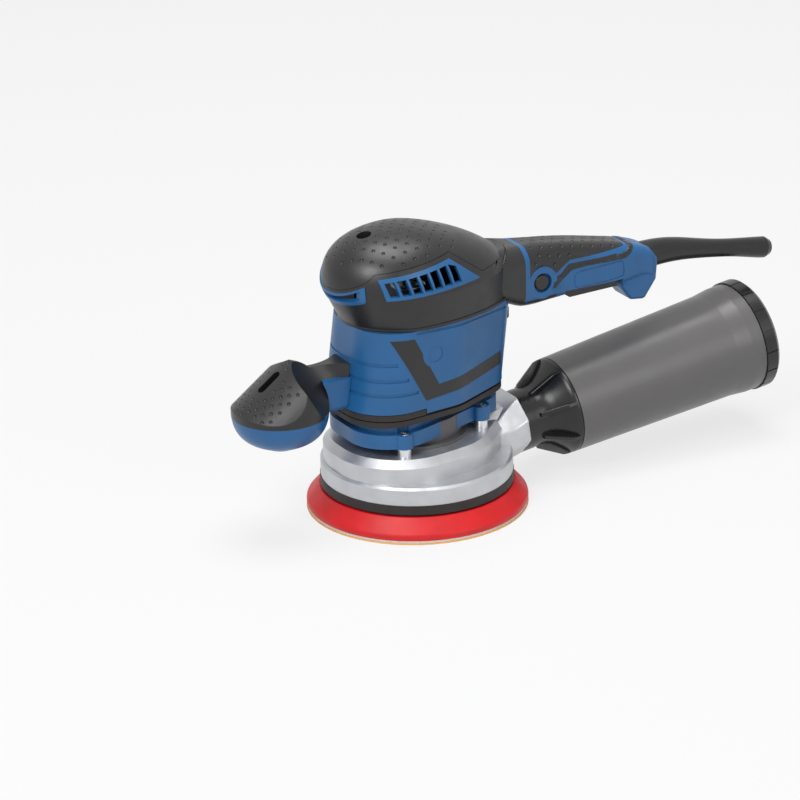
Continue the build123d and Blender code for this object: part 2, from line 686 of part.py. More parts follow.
def make_lower_ring():
    """Lower ring with a recessed neck, a spigot in the damping band and four screw ears."""
    top = RING_Z + RING_HEIGHT
    rim = level_prism(egg(RING_FRONT, RING_REAR, RING_BULGE), RING_Z, top)
    ears = [column(EAR_RADIUS, RING_Z, top, x, y) for x, y in post_places()]
    rim = rim + ears
    neck = level_prism(egg(RING_FRONT, RING_REAR, RING_BULGE, RING_NECK_INSET), top, BAND_Z)
    spigot = level_prism(egg(RING_FRONT, RING_REAR, RING_BULGE, RING_SPIGOT_INSET), BAND_Z, SKIRT_Z)
    opening = column(COLLAR_RADIUS + NEST_GAP, RING_Z, top, SPINDLE_X)
    well = column(COLLAR_RADIUS - COLLAR_WALL, top, SKIRT_Z, SPINDLE_X)
    seat = screw_head_z()
    ring = rim + neck + spigot - opening - well
    for x, y in post_places():
        ring = ring - column(SCREW_HOLE_RADIUS, RING_Z, seat, x, y)
        ring = ring - column(SCREW_HEAD_RADIUS + SEAM_GAP, seat, BAND_Z - 1, x, y)
    return ring


# ================================================================ motor housing
@lru_cache(maxsize=None)
def body_loft(inset=0.0):
    """Outside of the motor housing between its bottom edge and the waist, drawn in by an inset."""
    low = Pos(0, 0, BODY_Z) * egg(BODY_LOW_FRONT, BODY_LOW_REAR, BODY_BULGE, inset)
    high = Pos(0, 0, BODY_TOP) * egg(BODY_TOP_FRONT, BODY_TOP_REAR, BODY_BULGE, inset)
    return loft([low, high], ruled=True)


def body_low_plan(inset=0.0):
    """Plan of the motor housing's bottom edge."""
    return egg(BODY_LOW_FRONT, BODY_LOW_REAR, BODY_BULGE, inset)


def make_damping_band():
    """Rubber band between lower ring and motor housing: two ribs in front, one along the flanks."""
    inner = egg(RING_FRONT, RING_REAR, RING_BULGE, RING_SPIGOT_INSET - NEST_GAP)
    band = level_prism(body_low_plan(BAND_INSET), BAND_Z, SKIRT_Z)
    front = crossed(level_prism(body_low_plan(BAND_INSET), SKIRT_Z, BODY_Z),
                    block(-REACH, BAND_STEP_X, -REACH, REACH, SKIRT_Z, BODY_Z))
    low_rib = level_prism(body_low_plan(BAND_INSET - BAND_RIB_PROUD), BAND_Z + 0.8, BAND_Z + 0.8 + BAND_RIB_HEIGHT)
    top_rib = crossed(level_prism(body_low_plan(BAND_INSET - BAND_RIB_PROUD), SKIRT_Z - 1.2, BODY_Z - 0.6),
                      block(-REACH, BAND_STEP_X, -REACH, REACH, BAND_Z, BODY_Z))
    well = column(STATOR_RADIUS - 2, BAND_Z, BODY_Z, SPINDLE_X)
    return band + front + low_rib + top_rib - level_prism(inner, BAND_Z, SKIRT_Z) - well


def inlay_outline():
    """V-shaped side inlay, as (x, z) points: a slanted arm, a foot and a long rear arm."""
    top = BODY_Z + INLAY_HIGH
    foot = BODY_Z + INLAY_LOW
    rear_low = foot + INLAY_REAR_RISE
    inner_x = INLAY_FOOT_X + INLAY_ARM_WIDTH * 0.75
    return [
        (INLAY_FRONT_X, top),
        (INLAY_FOOT_X, foot),
        (INLAY_REAR_X, rear_low),
        (INLAY_REAR_X, rear_low + INLAY_REAR_HEIGHT),
        (inner_x, foot + INLAY_REAR_HEIGHT),
        (INLAY_FRONT_X + INLAY_ARM_WIDTH + 2, top),
    ]


def badge_hole(radius):
    """Round prism across Y at the bare badge place."""
    x, rise = BADGE_CENTRE
    return Pos(x, 0, BODY_Z + rise) * Rot(90, 0, 0) * Cylinder(radius, REACH)


def make_side_inlay(side):
    """Soft-grip inlay on one flank of the motor housing."""
    y_low, y_high = sorted((0, side * REACH / 2))
    area = side_prism(inlay_outline(), y_low, y_high) - badge_hole(BADGE_RADIUS)
    skin = body_loft(-NEST_GAP) - body_loft(GRIP_DEPTH)
    return crossed(skin, area)


def make_motor_housing():
    """Motor housing: a lofted egg-shaped body with a bore for the stator and pockets for its inlays."""
    skirt = crossed(level_prism(body_low_plan(), SKIRT_Z, BODY_Z),
                    block(BAND_STEP_X + SEAM_GAP, REACH, -REACH, REACH, SKIRT_Z, BODY_Z))
    body = body_loft() + skirt
    body = body - column(STATOR_RADIUS + NEST_GAP, SKIRT_Z, BODY_TOP, SPINDLE_X)
    area = side_prism(inlay_outline(), -REACH / 2, REACH / 2) - badge_hole(BADGE_RADIUS)
    body = body - crossed(area, body_loft(-1) - body_loft(GRIP_DEPTH + NEST_GAP))
    grooves = body_loft(-1) - body_loft(GROOVE_DEPTH)
    for rise, end_x in GROOVES:
        low = BODY_Z + rise
        body = body - crossed(grooves, block(-REACH, end_x, -REACH, REACH, low, low + GROOVE_HEIGHT))
    return body - wheel_pocket() - knob_screw_hole()


# ================================================================ upper housing
@lru_cache(maxsize=None)
def crown(inset=0.0):
    """Solid of the dome above the brim, drawn in by an inset."""
    front_x, rear_x, half_width = BRIM_OVAL
    sections = []
    for step in (0.0, 0.25, 0.5, 0.7, 0.85, 0.95):
        front_share = (1 - step ** 2.6) ** (1 / 2.6)
        rear_share = (1 - step ** 1.5) ** (1 / 1.5)
        side_share = (1 - step ** 2.2) ** (1 / 2.2)
        outline = oval(CROWN_X + (front_x + inset - CROWN_X) * front_share,
                       CROWN_X + (rear_x - inset - CROWN_X) * rear_share,
                       (half_width - inset) * side_share)
        sections.append(Pos(0, 0, BRIM_Z + (CROWN_HEIGHT - inset) * step) * outline)
    return loft(sections + [Vertex(CROWN_X, 0, CROWN_Z - inset)])


@lru_cache(maxsize=None)
def waist(inset=0.0):
    """Solid between the waist and the brim, drawn in by an inset."""
    front_x, rear_x, half_width = WAIST_OVAL
    low = Pos(0, 0, BODY_TOP) * oval(front_x + inset, rear_x - inset, half_width - inset)
    front_x, rear_x, half_width = BRIM_OVAL
    high = Pos(0, 0, BRIM_Z) * oval(front_x + inset, rear_x - inset, half_width - inset)
    return loft([low, high], ruled=True)


@lru_cache(maxsize=None)
def handle_bar(inset=0.0, start=0, end=None):
    """Lofted bar from inside the upper housing to the handle's end, drawn in by an inset."""
    sections = []
    for x, width, low, high in HANDLE_SECTIONS[start:end]:
        height = high - low - 2 * inset
        corner = HANDLE_ROUND * min(width - 2 * inset, height)
        outline = RectangleRounded(width - 2 * inset, height, corner)
        place = Plane(origin=(x, 0, (low + high) / 2), x_dir=(0, 1, 0), z_dir=(1, 0, 0))
        sections.append(place * outline)
    return loft(sections)


def neck_outside(inset=0.0):
    """Neck between the dome and the handle, drawn in by an inset."""
    return crossed(handle_bar(inset, 0, 4), block(NECK_START_X + inset, NECK_X, -REACH, REACH, 0, REACH))


def cover_area(gap=0.0):
    """Space above the cover's seam, lowered or raised by a gap."""
    top = [(COVER_SEAM[-1][0], CROWN_HEIGHT * 3), (COVER_SEAM[0][0], CROWN_HEIGHT * 3)]
    seam = [(x, rise + gap) for x, rise in COVER_SEAM]
    return side_prism(lifted(seam + top, BODY_TOP), -REACH / 2, REACH / 2)


def cover_seat_z():
    """Seat of the cover screw's head at the bottom of its hole."""
    return CROWN_Z - COVER_SCREW_DEPTH - COVER_SCREW_HEAD


def make_top_cover():
    """Soft-grip dome with a deep screw hole in front."""
    seat = cover_seat_z()
    shell = crown() - crown(SHELL_WALL)
    boss = crossed(column(COVER_BOSS_RADIUS, seat - COVER_SCREW_SEAT, CROWN_Z, COVER_HOLE_X), crown(SHELL_WALL / 2))
    cover = crossed(shell, cover_area(SEAM_GAP)) + boss - neck_outside(-SEAM_GAP)
    cover = cover - column(COVER_HOLE_RADIUS, seat, REACH, COVER_HOLE_X)
    return cover - column(COVER_SHANK_RADIUS + SEAM_GAP, seat - COVER_SCREW_SEAT, seat, COVER_HOLE_X)


def make_cover_screw():
    """Countersunk screw at the bottom of the cover's hole."""
    seat = cover_seat_z()
    head = column(COVER_SCREW_RADIUS, seat, seat + COVER_SCREW_HEAD, COVER_HOLE_X)
    shank = column(COVER_SHANK_RADIUS, seat - COVER_SCREW_LENGTH, seat, COVER_HOLE_X)
    socket = extrude(RegularPolygon(COVER_SHANK_RADIUS, 6), amount=COVER_SCREW_HEAD)
    recess = Pos(COVER_HOLE_X, 0, seat + COVER_SCREW_HEAD / 2) * socket
    return head + shank - recess


def vent_skin(depth):
    """Curved skin of the dome and waist from just proud of the surface to a depth."""
    return waist(-VENT_PROUD) + crown(-VENT_PROUD) - waist(depth) - crown(depth)


def height_on(start, end, x):
    """Height at x on the line through two (x, z) points."""
    return start[1] + (x - start[0]) * (end[1] - start[1]) / (end[0] - start[0])


def side_vent_slots():
    """Outlines of the side grille's slanted slots as (x, z) points."""
    front_low, front_top, rear_top, rear_low = lifted(SIDE_VENT, BODY_TOP)
    start = front_low[0] + SIDE_VENT_FRAME
    pitch = (rear_top[0] - start) / (SIDE_VENT_SLOTS - 1)
    width = pitch - SIDE_VENT_BLADE
    slots = []
    for index in range(SIDE_VENT_SLOTS):
        low_x = start + index * pitch
        top_x = low_x - SIDE_VENT_LEAN
        low = [(x, height_on(front_low, rear_low, x) + SIDE_VENT_FRAME) for x in (low_x, low_x + width)]
        top = []
        for x in (top_x + width, top_x):
            roof = min(height_on(front_top, rear_top, x), height_on(rear_top, rear_low, x))
            top.append((x, roof - SIDE_VENT_FRAME))
        slots.append(low + top)
    return slots


def make_side_vent(side):
    """Side grille: a raised frame with slanted slots and a plain triangular rear end."""
    y_low, y_high = sorted((0, side * REACH / 2))
    outline = lifted(SIDE_VENT, BODY_TOP)
    frame = crossed(vent_skin(VENT_DEPTH), side_prism(outline, y_low, y_high))
    for slot in side_vent_slots():
        frame = frame - side_prism(slot, y_low, y_high)
    return frame


def make_front_vent():
    """Front grille: a raised frame round one long slot that follows the nose."""
    outline = lifted(FRONT_VENT, BODY_TOP)
    frame = crossed(vent_skin(VENT_DEPTH), side_prism(outline, -REACH / 2, REACH / 2))
    slot = [(x, z + (1 if index < 2 else -1) * FRONT_VENT_FRAME) for index, (x, z) in enumerate(outline)]
    slot = [(min(x, FRONT_VENT[1][0] - FRONT_VENT_FRAME), z) for x, z in slot]
    return frame - side_prism(slot, -REACH / 2, REACH / 2)


def waist_lip():
    """Low rim of the upper housing over the motor housing's edge."""
    front_x, rear_x, half_width = WAIST_OVAL
    outer = oval(front_x - LIP_PROUD, rear_x + LIP_PROUD, half_width + LIP_PROUD)
    wall = SHELL_WALL / 2
    inner = oval(front_x + wall, rear_x - wall, half_width - wall)
    rim = level_prism(outer, BODY_TOP, BODY_TOP + LIP_HEIGHT)
    return rim - level_prism(inner, BODY_TOP, BODY_TOP + LIP_HEIGHT)


def bearing_bridge():
    """Bridge across the upper housing for the upper bearing, with the post of the cover screw."""
    half = BRIDGE_WIDTH / 2
    beam = block(-REACH, REACH, -half, half, BRIDGE_Z, BRIDGE_Z + BRIDGE_HEIGHT)
    beam = crossed(beam, waist(SHELL_WALL / 2))
    post = column(COVER_BOSS_RADIUS, BRIDGE_Z, cover_seat_z() - COVER_SCREW_SEAT, COVER_HOLE_X)
    post = post - column(COVER_SHANK_RADIUS + NEST_GAP, BRIDGE_Z + BRIDGE_HEIGHT, REACH, COVER_HOLE_X)
    return beam + post - column(BEARING_RADIUS + NEST_GAP, BRIDGE_Z, REACH, SPINDLE_X)


def make_upper_housing():
    """Black upper housing: waist, vent belt and neck, with the bridge of the upper bearing."""
    room = waist(SHELL_WALL) + crown(SHELL_WALL)
    shell = waist() + crown() - room - cover_area()
    neck = neck_outside() - room - body_loft(-SEAM_GAP)
    for outline in (SIDE_VENT, FRONT_VENT):
        shell = shell - side_prism(lifted(outline, BODY_TOP), -REACH / 2, REACH / 2)
    shell = shell + neck + waist_lip() - handle_bar(NECK_WALL, 0, 4)
    return shell + bearing_bridge()


# ================================================================ rear handle
def hook_profile():
    """Side view of the hook that ends the handle and guards the fingers."""
    rear_x, width, low, high = HANDLE_SECTIONS[-1]
    front_x = TRIGGER_REAR_X + HOOK_GAP
    corners = [(front_x, low - 3), (front_x + 7, low - HOOK_DEPTH + 1.5), (rear_x - 5, low - HOOK_DEPTH),
               (rear_x + 4.5, low - 1), (rear_x + HOOK_REAR, high - 8)]
    outline = make_face(Polyline((front_x, low + 10), *corners, (rear_x + 1, high - 1.5), close=True))
    bends = [v for v in outline.vertices() if any(math.dist((v.X, v.Y), c) < 1 for c in corners)]
    return Plane.XZ * fillet(bends, HOOK_BEND)


@lru_cache(maxsize=None)
def handle_outside():
    """Outside of the handle behind the neck, with its hook."""
    bar = crossed(handle_bar(), block(NECK_X, REACH, -REACH, REACH, 0, REACH))
    hook = Pos(0, HOOK_WIDTH / 2, 0) * extrude(hook_profile(), amount=HOOK_WIDTH)
    low = HANDLE_SECTIONS[-1][2]
    rims = [edge for edge in hook.edges().filter_by(Axis.Y, reverse=True) if edge.center().Z < low + 9]
    return bar + fillet(rims, HOOK_EDGE)


def grip_area():
    """Side view of the dimpled top grip."""
    return side_prism(lifted(GRIP_LINE, BODY_TOP), -REACH / 2, REACH / 2)


def lock_prism(radius, y_low, y_high):
    """Round prism across Y at the lock button."""
    return Pos(LOCK_X, (y_low + y_high) / 2, LOCK_Z) * Rot(90, 0, 0) * Cylinder(radius, y_high - y_low)


def lock_face_y():
    """Outer face of the ring round the lock button."""
    return -HANDLE_SECTIONS[3][1] / 2 - LOCK_RING_PROUD


def make_top_grip():
    """Dimpled soft grip over the top of the handle."""
    skin = handle_bar(-NEST_GAP) - handle_bar(GRIP_DEPTH)
    return crossed(skin, grip_area()) - lock_prism(LOCK_RING_RADIUS + NEST_GAP, lock_face_y() - 5, 0)


def strip_area():
    """Side view of the plain soft strip below the top grip."""
    return side_prism(lifted(STRIP_LINE, BODY_TOP), -REACH / 2, REACH / 2)


def make_side_strip(side):
    """Plain soft strip on one side of the handle."""
    skin = handle_bar(-NEST_GAP) - handle_bar(GRIP_DEPTH)
    half = block(0, REACH, *sorted((0, side * REACH)), 0, REACH)
    return crossed(crossed(skin, strip_area()), half) - lock_prism(LOCK_RING_RADIUS + NEST_GAP, lock_face_y() - 5, 0)


def neck_grip_area():
    """Space of the soft grip under the neck."""
    low = HANDLE_SECTIONS[3][2]
    return block(NECK_X, TRIGGER_FRONT_X - 5, -REACH, REACH, low - 10, low + NECK_GRIP_RISE)


def make_neck_grip():
    """Soft grip under the front of the handle, where the finger rests."""
    skin = handle_bar() - handle_bar(NECK_GRIP_DEPTH)
    return crossed(skin, neck_grip_area())


def trigger_low_z():
    """Underside of the trigger at rest."""
    return HANDLE_SECTIONS[4][2] - TRIGGER_DROP


def make_trigger():
    """Switch trigger: a long bar with a pointed front end and a rounded underside."""
    low = trigger_low_z()
    top = low + TRIGGER_SIDE + TRIGGER_RISE
    outline = [
        (TRIGGER_FRONT_X, low + TRIGGER_SIDE - 1.5),
        (TRIGGER_FRONT_X + 8, low),
        (TRIGGER_REAR_X, low + 0.5),
        (TRIGGER_REAR_X, top),
        (TRIGGER_FRONT_X + 3, top - 1),
        (TRIGGER_FRONT_X, top - 2),
    ]
    bar = side_prism(outline, -TRIGGER_WIDTH / 2, TRIGGER_WIDTH / 2)
    low_edges = [edge for edge in bar.edges() if edge.center().Z < low + 1 and abs(edge.center().Y) > 1]
    return fillet(low_edges, TRIGGER_EDGE) + trigger_pin()


def trigger_pivot():
    """Middle of the trigger's pin."""
    return TRIGGER_REAR_X - TRIGGER_PIN_RADIUS - 1, trigger_low_z() + TRIGGER_SIDE + TRIGGER_RISE / 2


def trigger_pin(gap=0.0):
    """Pin across the rear of the trigger, grown by a gap."""
    x, z = trigger_pivot()
    length = TRIGGER_WIDTH + 2 * TRIGGER_PIN_REACH + 2 * gap
    return Pos(x, 0, z) * Rot(90, 0, 0) * Cylinder(TRIGGER_PIN_RADIUS + gap, length)


def trigger_pocket():
    """Room for the trigger over its whole stroke."""
    low = trigger_low_z() - 20
    travel = (TRIGGER_REAR_X - TRIGGER_FRONT_X) * math.tan(math.radians(TRIGGER_ANGLE))
    top = trigger_low_z() + TRIGGER_SIDE + TRIGGER_RISE + travel + TRIGGER_GAP
    half = TRIGGER_WIDTH / 2 + TRIGGER_GAP
    return block(TRIGGER_FRONT_X - TRIGGER_GAP, TRIGGER_REAR_X + TRIGGER_GAP, -half, half, low, top)


def trigger_gap_slab():
    """Low part of the shells that is cut away beside the trigger."""
    low = trigger_low_z()
    return block(TRIGGER_FRONT_X + 2, TRIGGER_REAR_X + 2, -REACH, REACH, low - 10, low + TRIGGER_SIDE)


def switch_box(gap=0.0):
    """Room of the switch module above the trigger."""
    low = HANDLE_SECTIONS[4][2] + TRIGGER_SIDE + TRIGGER_RISE + SWITCH_LIFT
    middle = (TRIGGER_FRONT_X + TRIGGER_REAR_X) / 2
    return block(middle - SWITCH_LENGTH / 2 - gap, middle + SWITCH_LENGTH / 2 + gap,
                 -SWITCH_WIDTH / 2 - gap, SWITCH_WIDTH / 2 + gap, low - gap, low + SWITCH_HEIGHT + gap)


def make_switch_module():
    """Switch housing in the handle with its plunger over the trigger."""
    return switch_box()


@lru_cache(maxsize=None)
def handle_shells():
    """Both half shells in one, with the pockets they share."""
    skin = handle_bar(-1) - handle_bar(GRIP_DEPTH + NEST_GAP)
    ring = lock_prism(LOCK_RING_RADIUS + NEST_GAP, lock_face_y() - 5, 0)
    shell = handle_outside() - (crossed(skin, grip_area() + strip_area()) - ring)
    shell = shell - crossed(handle_bar(-1) - handle_bar(NECK_GRIP_DEPTH + NEST_GAP), neck_grip_area())
    shell = shell - trigger_pocket() - trigger_gap_slab() - trigger_pin(RUNNING_GAP)
    hollow = block(NECK_X, LOCK_X + LOCK_RING_RADIUS, -REACH, REACH, 0, REACH)
    shell = shell - crossed(handle_bar(NECK_WALL), hollow)
    return shell - switch_box(NEST_GAP) - sleeve_seat()


def make_handle_shell(side):
    """Half shell of the handle; the left one carries the ring and bore of the lock button."""
    shell = crossed(handle_shells(), block(0, REACH, *sorted((0, side * REACH)), 0, REACH))
    if side > 0:
        return shell
    face = lock_face_y()
    depth = LOCK_BUTTON_LENGTH + LOCK_STROKE + RUNNING_GAP
    shell = shell + lock_prism(LOCK_RING_RADIUS, face, face + depth)
    shell = shell - lock_prism(LOCK_RECESS_RADIUS, face, face + LOCK_STROKE)
    return shell - lock_prism(LOCK_BUTTON_RADIUS + RUNNING_GAP, face, 0)


def make_lock_button():
    """Lock-on button that slides into the side of the handle."""
    face = lock_face_y() + LOCK_BUTTON_PROUD
    button = lock_prism(LOCK_BUTTON_RADIUS, face, face + LOCK_BUTTON_LENGTH)
    return chamfer(button.edges().group_by(Axis.Y)[0], 0.6)


# ================================================================ cord sleeve
def sleeve_root():
    """Place where the cord sleeve leaves the handle."""
    x, width, low, high = HANDLE_SECTIONS[-1]
    return x + 5, (low + high) / 2 + 3


def make_cord_sleeve():
    """Tapered cord sleeve with a rounded, slightly thicker end and a bore for the cord."""
    root_x, root_z = sleeve_root()
    sections = []
    for index, (run, rise, radius) in enumerate(SLEEVE_STATIONS):
        before = SLEEVE_STATIONS[max(index - 1, 0)]
        after = SLEEVE_STATIONS[min(index + 1, len(SLEEVE_STATIONS) - 1)]
        along = Vector(after[0] - before[0], 0, after[1] - before[1])
        place = Plane(origin=(root_x + run, 0, root_z + rise), x_dir=(0, 1, 0), z_dir=along)
        sections.append(place * Circle(radius))
    sleeve = loft(sections)
    end = place.location * Cone(SLEEVE_STATIONS[-1][2], SLEEVE_END_RADIUS, SLEEVE_END_LENGTH,
                                align=(Align.CENTER, Align.CENTER, Align.MIN))
    bore = place.location * Pos(0, 0, SLEEVE_END_LENGTH) * Cylinder(
        CORD_RADIUS, CORD_BORE_LENGTH, align=(Align.CENTER, Align.CENTER, Align.MAX))
    return sleeve + end - bore


def sleeve_seat():
    """Hole in the handle's rear end for the sleeve's root."""
    root_x, root_z = sleeve_root()
    radius = SLEEVE_STATIONS[0][2] + NEST_GAP
    return Pos(root_x + SLEEVE_STATIONS[0][0] + 10, 0, root_z) * Rot(0, 90, 0) * Cylinder(radius, 20)


# ================================================================ auxiliary handle
@lru_cache(maxsize=None)
def knob_outside():
    """Egg-shaped knob, rounder above its seam than below."""
    upper = [(0.0, KNOB_RISE), (0.42, 0.93 * KNOB_RISE), (0.8, 0.66 * KNOB_RISE), (1.0, 0.18 * KNOB_RISE)]
    lower = [(0.97, -0.25 * KNOB_DROP), (0.72, -0.72 * KNOB_DROP), (0.35, -0.96 * KNOB_DROP), (0.0, -KNOB_DROP)]
    points = [(share * KNOB_RADIUS, KNOB_Z + rise) for share, rise in upper + lower]
    curve = Spline(*points, tangents=[(1, 0), (-1, 0)])
    axis_line = Line(points[-1], points[0])
    knob = revolve(Plane.XZ * make_face([curve, axis_line]), Axis.Z)
    return Pos(KNOB_X, 0, 0) * knob


def arm_outside():
    """Flat-topped arm from the knob to the motor housing."""
    low, top = KNOB_Z + ARM_LOW, KNOB_Z + ARM_TOP
    arm = block(KNOB_X + 10, -40, -ARM_WIDTH / 2, ARM_WIDTH / 2, low, top)
    arm = fillet(arm.edges().filter_by(Axis.X), ARM_ROUND)
    return arm - body_loft(-SEAM_GAP)


def knob_slot():
    """Long storage slot in the top of the knob."""
    along, across = KNOB_SLOT_PLACE
    outline = SlotOverall(*KNOB_SLOT)
    slot = extrude(outline, amount=KNOB_SLOT_DEPTH * 2)
    place = Pos(KNOB_X + along, across, KNOB_Z + KNOB_RISE - KNOB_SLOT_DEPTH)
    return place * Rot(0, 0, KNOB_SLOT_ANGLE) * slot


def knob_screw_place():
    """Level and outer end of the screw that holds the auxiliary handle."""
    return KNOB_Z + (ARM_LOW + ARM_TOP) / 2


def knob_screw_hole():
    """Threaded hole of the auxiliary handle in the front of the motor housing."""
    start = BODY_LOW_FRONT[0] - BODY_LOW_FRONT[2]
    place = Pos(start, 0, knob_screw_place()) * Rot(0, 90, 0)
    return place * Cylinder(KNOB_SCREW_RADIUS + NEST_GAP, 2 * KNOB_SCREW_GRIP + 2)


def make_knob_screw():
    """Hex-socket screw along the arm into the motor housing."""
    end_x = BODY_LOW_FRONT[0] - BODY_LOW_FRONT[2] + KNOB_SCREW_GRIP
    level = knob_screw_place()
    shank = Pos(end_x - KNOB_SCREW_LENGTH / 2, 0, level) * Rot(0, 90, 0) * Cylinder(KNOB_SCREW_RADIUS, KNOB_SCREW_LENGTH)
    head_x = end_x - KNOB_SCREW_LENGTH - 3
    head = Pos(head_x, 0, level) * Rot(0, 90, 0) * Cylinder(KNOB_SCREW_HEAD, 6)
    return shank + head


def knob_screw_room():
    """Room for the screw inside the arm and knob."""
    end_x = BODY_LOW_FRONT[0] - BODY_LOW_FRONT[2] + KNOB_SCREW_GRIP
    level = knob_screw_place()
    shank = Pos(end_x - KNOB_SCREW_LENGTH / 2, 0, level) * Rot(0, 90, 0) * Cylinder(
        KNOB_SCREW_RADIUS + NEST_GAP, KNOB_SCREW_LENGTH)
    head = Pos(end_x - KNOB_SCREW_LENGTH - 4, 0, level) * Rot(0, 90, 0) * Cylinder(KNOB_SCREW_HEAD + NEST_GAP, 8)
    return shank + head


def make_knob_upper():
    """Soft upper shell of the auxiliary handle with the top of its arm."""
    arm = crossed(arm_outside(), block(-REACH, REACH, -REACH, REACH, KNOB_Z + ARM_SPLIT, REACH))
    dome = crossed(knob_outside(), block(-REACH, REACH, -REACH, REACH, KNOB_Z, REACH))
    return dome + arm - knob_slot() - knob_screw_room()


def make_knob_lower():
    """Lower bowl of the auxiliary handle with the underside of its arm."""
    arm = crossed(arm_outside(), block(-REACH, REACH, -REACH, REACH, 0, KNOB_Z + ARM_SPLIT))
    bowl = crossed(knob_outside(), block(-REACH, REACH, -REACH, REACH, 0, KNOB_Z))
    dome = crossed(knob_outside(), block(-REACH, REACH, -REACH, REACH, KNOB_Z, REACH))
    return bowl + (arm - dome) - knob_screw_room()


# ================================================================ dust box
def box_column(outer, low, high, inner=0.0):
    """Cylinder or tube on the outlet's axis between two distances past the outlet's face."""
    align = (Align.CENTER, Align.CENTER, Align.MIN)
    shape = Cylinder(outer, high - low, align=align)
    if inner > 0:
        shape = shape - Cylinder(inner, high - low, align=align)
    return outlet_place(low) * shape


def box_turned(points):
    """Solid turned about the outlet's axis from (radius, distance) points."""
    outline = make_face(Polyline(*points, close=True))
    return outlet_place() * revolve(Plane.XZ * outline, Axis.Z)


def box_start():
    """Distance at which the container begins."""
    return SEAM_GAP + ADAPTER_NECK + ADAPTER_FLARE


def make_box_adapter():
    """Adapter of the dust box: a neck over the outlet stub, a cone and a rim with gusset fins."""
    inner = STUB_RADIUS + RUNNING_GAP
    outer = inner + ADAPTER_WALL
    start = SEAM_GAP
    flare = start + ADAPTER_NECK
    rim = box_start()
    end = rim + ADAPTER_RIM
    bore = BOX_RADIUS - BOX_WALL - NEST_GAP
    body = box_turned([
        (inner, start), (outer, start), (outer, flare), (BOX_RADIUS, rim), (BOX_RADIUS, rim + 1.5),
        (bore, rim + 1.5), (bore, end), (bore - BOX_WALL, end), (bore - BOX_WALL, rim - 1),
        (inner, flare + 2),
    ])
    fin = [(outer - 1, start + 3), (outer + 4.5, start + 4), (BOX_RADIUS - 1, rim - 3), (BOX_RADIUS - 1, rim), (outer - 1, flare)]
    outline = make_face(Polyline(*fin, close=True))
    blade = Pos(0, FIN_THICKNESS / 2, 0) * extrude(Plane.XZ * outline, amount=FIN_THICKNESS)
    core = outlet_place() * revolve(Plane.XZ * make_face(Polyline(
        (0, start), (inner, start), (inner, flare + 2), (bore - BOX_WALL, rim - 1), (bore - BOX_WALL, end), (0, end), close=True)), Axis.Z)
    fins = [outlet_place() * Rot(0, 0, (index + 0.5) * 360 / ADAPTER_FINS) * blade for index in range(ADAPTER_FINS)]
    return body + fins - core


def make_box_container():
    """Long container that widens towards its end, with a bead before the cap."""
    start = box_start() + 1.5 + SEAM_GAP
    end = start + BOX_LENGTH
    bead = end - 9
    return box_turned([
        (BOX_RADIUS - BOX_WALL, start), (BOX_RADIUS, start), (BOX_END_RADIUS, bead - 12),
        (BOX_END_RADIUS + BOX_BEAD, bead), (BOX_END_RADIUS + BOX_BEAD, end), (BOX_END_RADIUS + BOX_BEAD - BOX_WALL, end),
        (BOX_END_RADIUS + BOX_BEAD - BOX_WALL, bead), (BOX_END_RADIUS - BOX_WALL, bead - 12),
    ])


def container_end():
    """Distance at which the container ends."""
    return box_start() + 1.5 + SEAM_GAP + BOX_LENGTH


def make_box_cap():
    """End cap with a segmented grip ring, a skirt in the container and a grip bar."""
    start = container_end() + SEAM_GAP
    end = start + CAP_RING_LENGTH
    skirt_outer = BOX_END_RADIUS + BOX_BEAD - BOX_WALL - SEAM_GAP
    body = box_turned([
        (0, end - CAP_FACE), (skirt_outer - CAP_SKIRT, end - CAP_FACE), (skirt_outer - CAP_SKIRT, start - 6),
        (skirt_outer, start - 6), (skirt_outer, start), (CAP_RADIUS, start), (CAP_RADIUS, end - 2.5),
        (CAP_RADIUS - 2.5, end), (0, end),
    ])
    notch = Pos(CAP_RADIUS, 0, start) * Box(1.2, 1.0, CAP_RING_LENGTH * 2)
    notches = [outlet_place() * Rot(0, 0, index * 360 / CAP_SEGMENTS) * notch for index in range(CAP_SEGMENTS)]
    bar = outlet_place(end) * Box(BOX_RADIUS * 1.2, 8, 5, align=(Align.CENTER, Align.CENTER, Align.MIN))
    return body - notches + bar


def make_dust_filter():
    """Pleated filter cartridge between two end plates."""
    start = box_start() + ADAPTER_RIM + SEAM_GAP
    points = []
    for index in range(FILTER_PLEATS * 2):
        radius = FILTER_RADIUS if index % 2 == 0 else FILTER_CORE
        angle = math.pi * index / FILTER_PLEATS
        points.append((radius * math.cos(angle), radius * math.sin(angle)))
    star = extrude(make_face(Polyline(*points, close=True)), amount=FILTER_LENGTH)
    paper = outlet_place(start + FILTER_PLATE) * star
    rim = BOX_RADIUS - 2 * BOX_WALL - SEAM_GAP
    front = box_column(rim, start, start + FILTER_PLATE, FILTER_CORE - 4)
    back = box_column(FILTER_RADIUS + 1, start + FILTER_PLATE + FILTER_LENGTH, start + 2 * FILTER_PLATE + FILTER_LENGTH)
    bore = box_column(FILTER_CORE - 4, start, start + FILTER_PLATE + FILTER_LENGTH)
    return paper + front + back - bore


# ================================================================ speed wheel
def wheel_place():
    """Middle of the speed wheel in the rear of the motor housing."""
    rear_x = BODY_LOW_REAR[0] + BODY_LOW_REAR[1]
    share = WHEEL_RISE / BODY_HEIGHT
    top_x = BODY_TOP_REAR[0] + BODY_TOP_REAR[1]
    return rear_x + (top_x - rear_x) * share - WHEEL_RADIUS + WHEEL_PROUD, BODY_Z + WHEEL_RISE


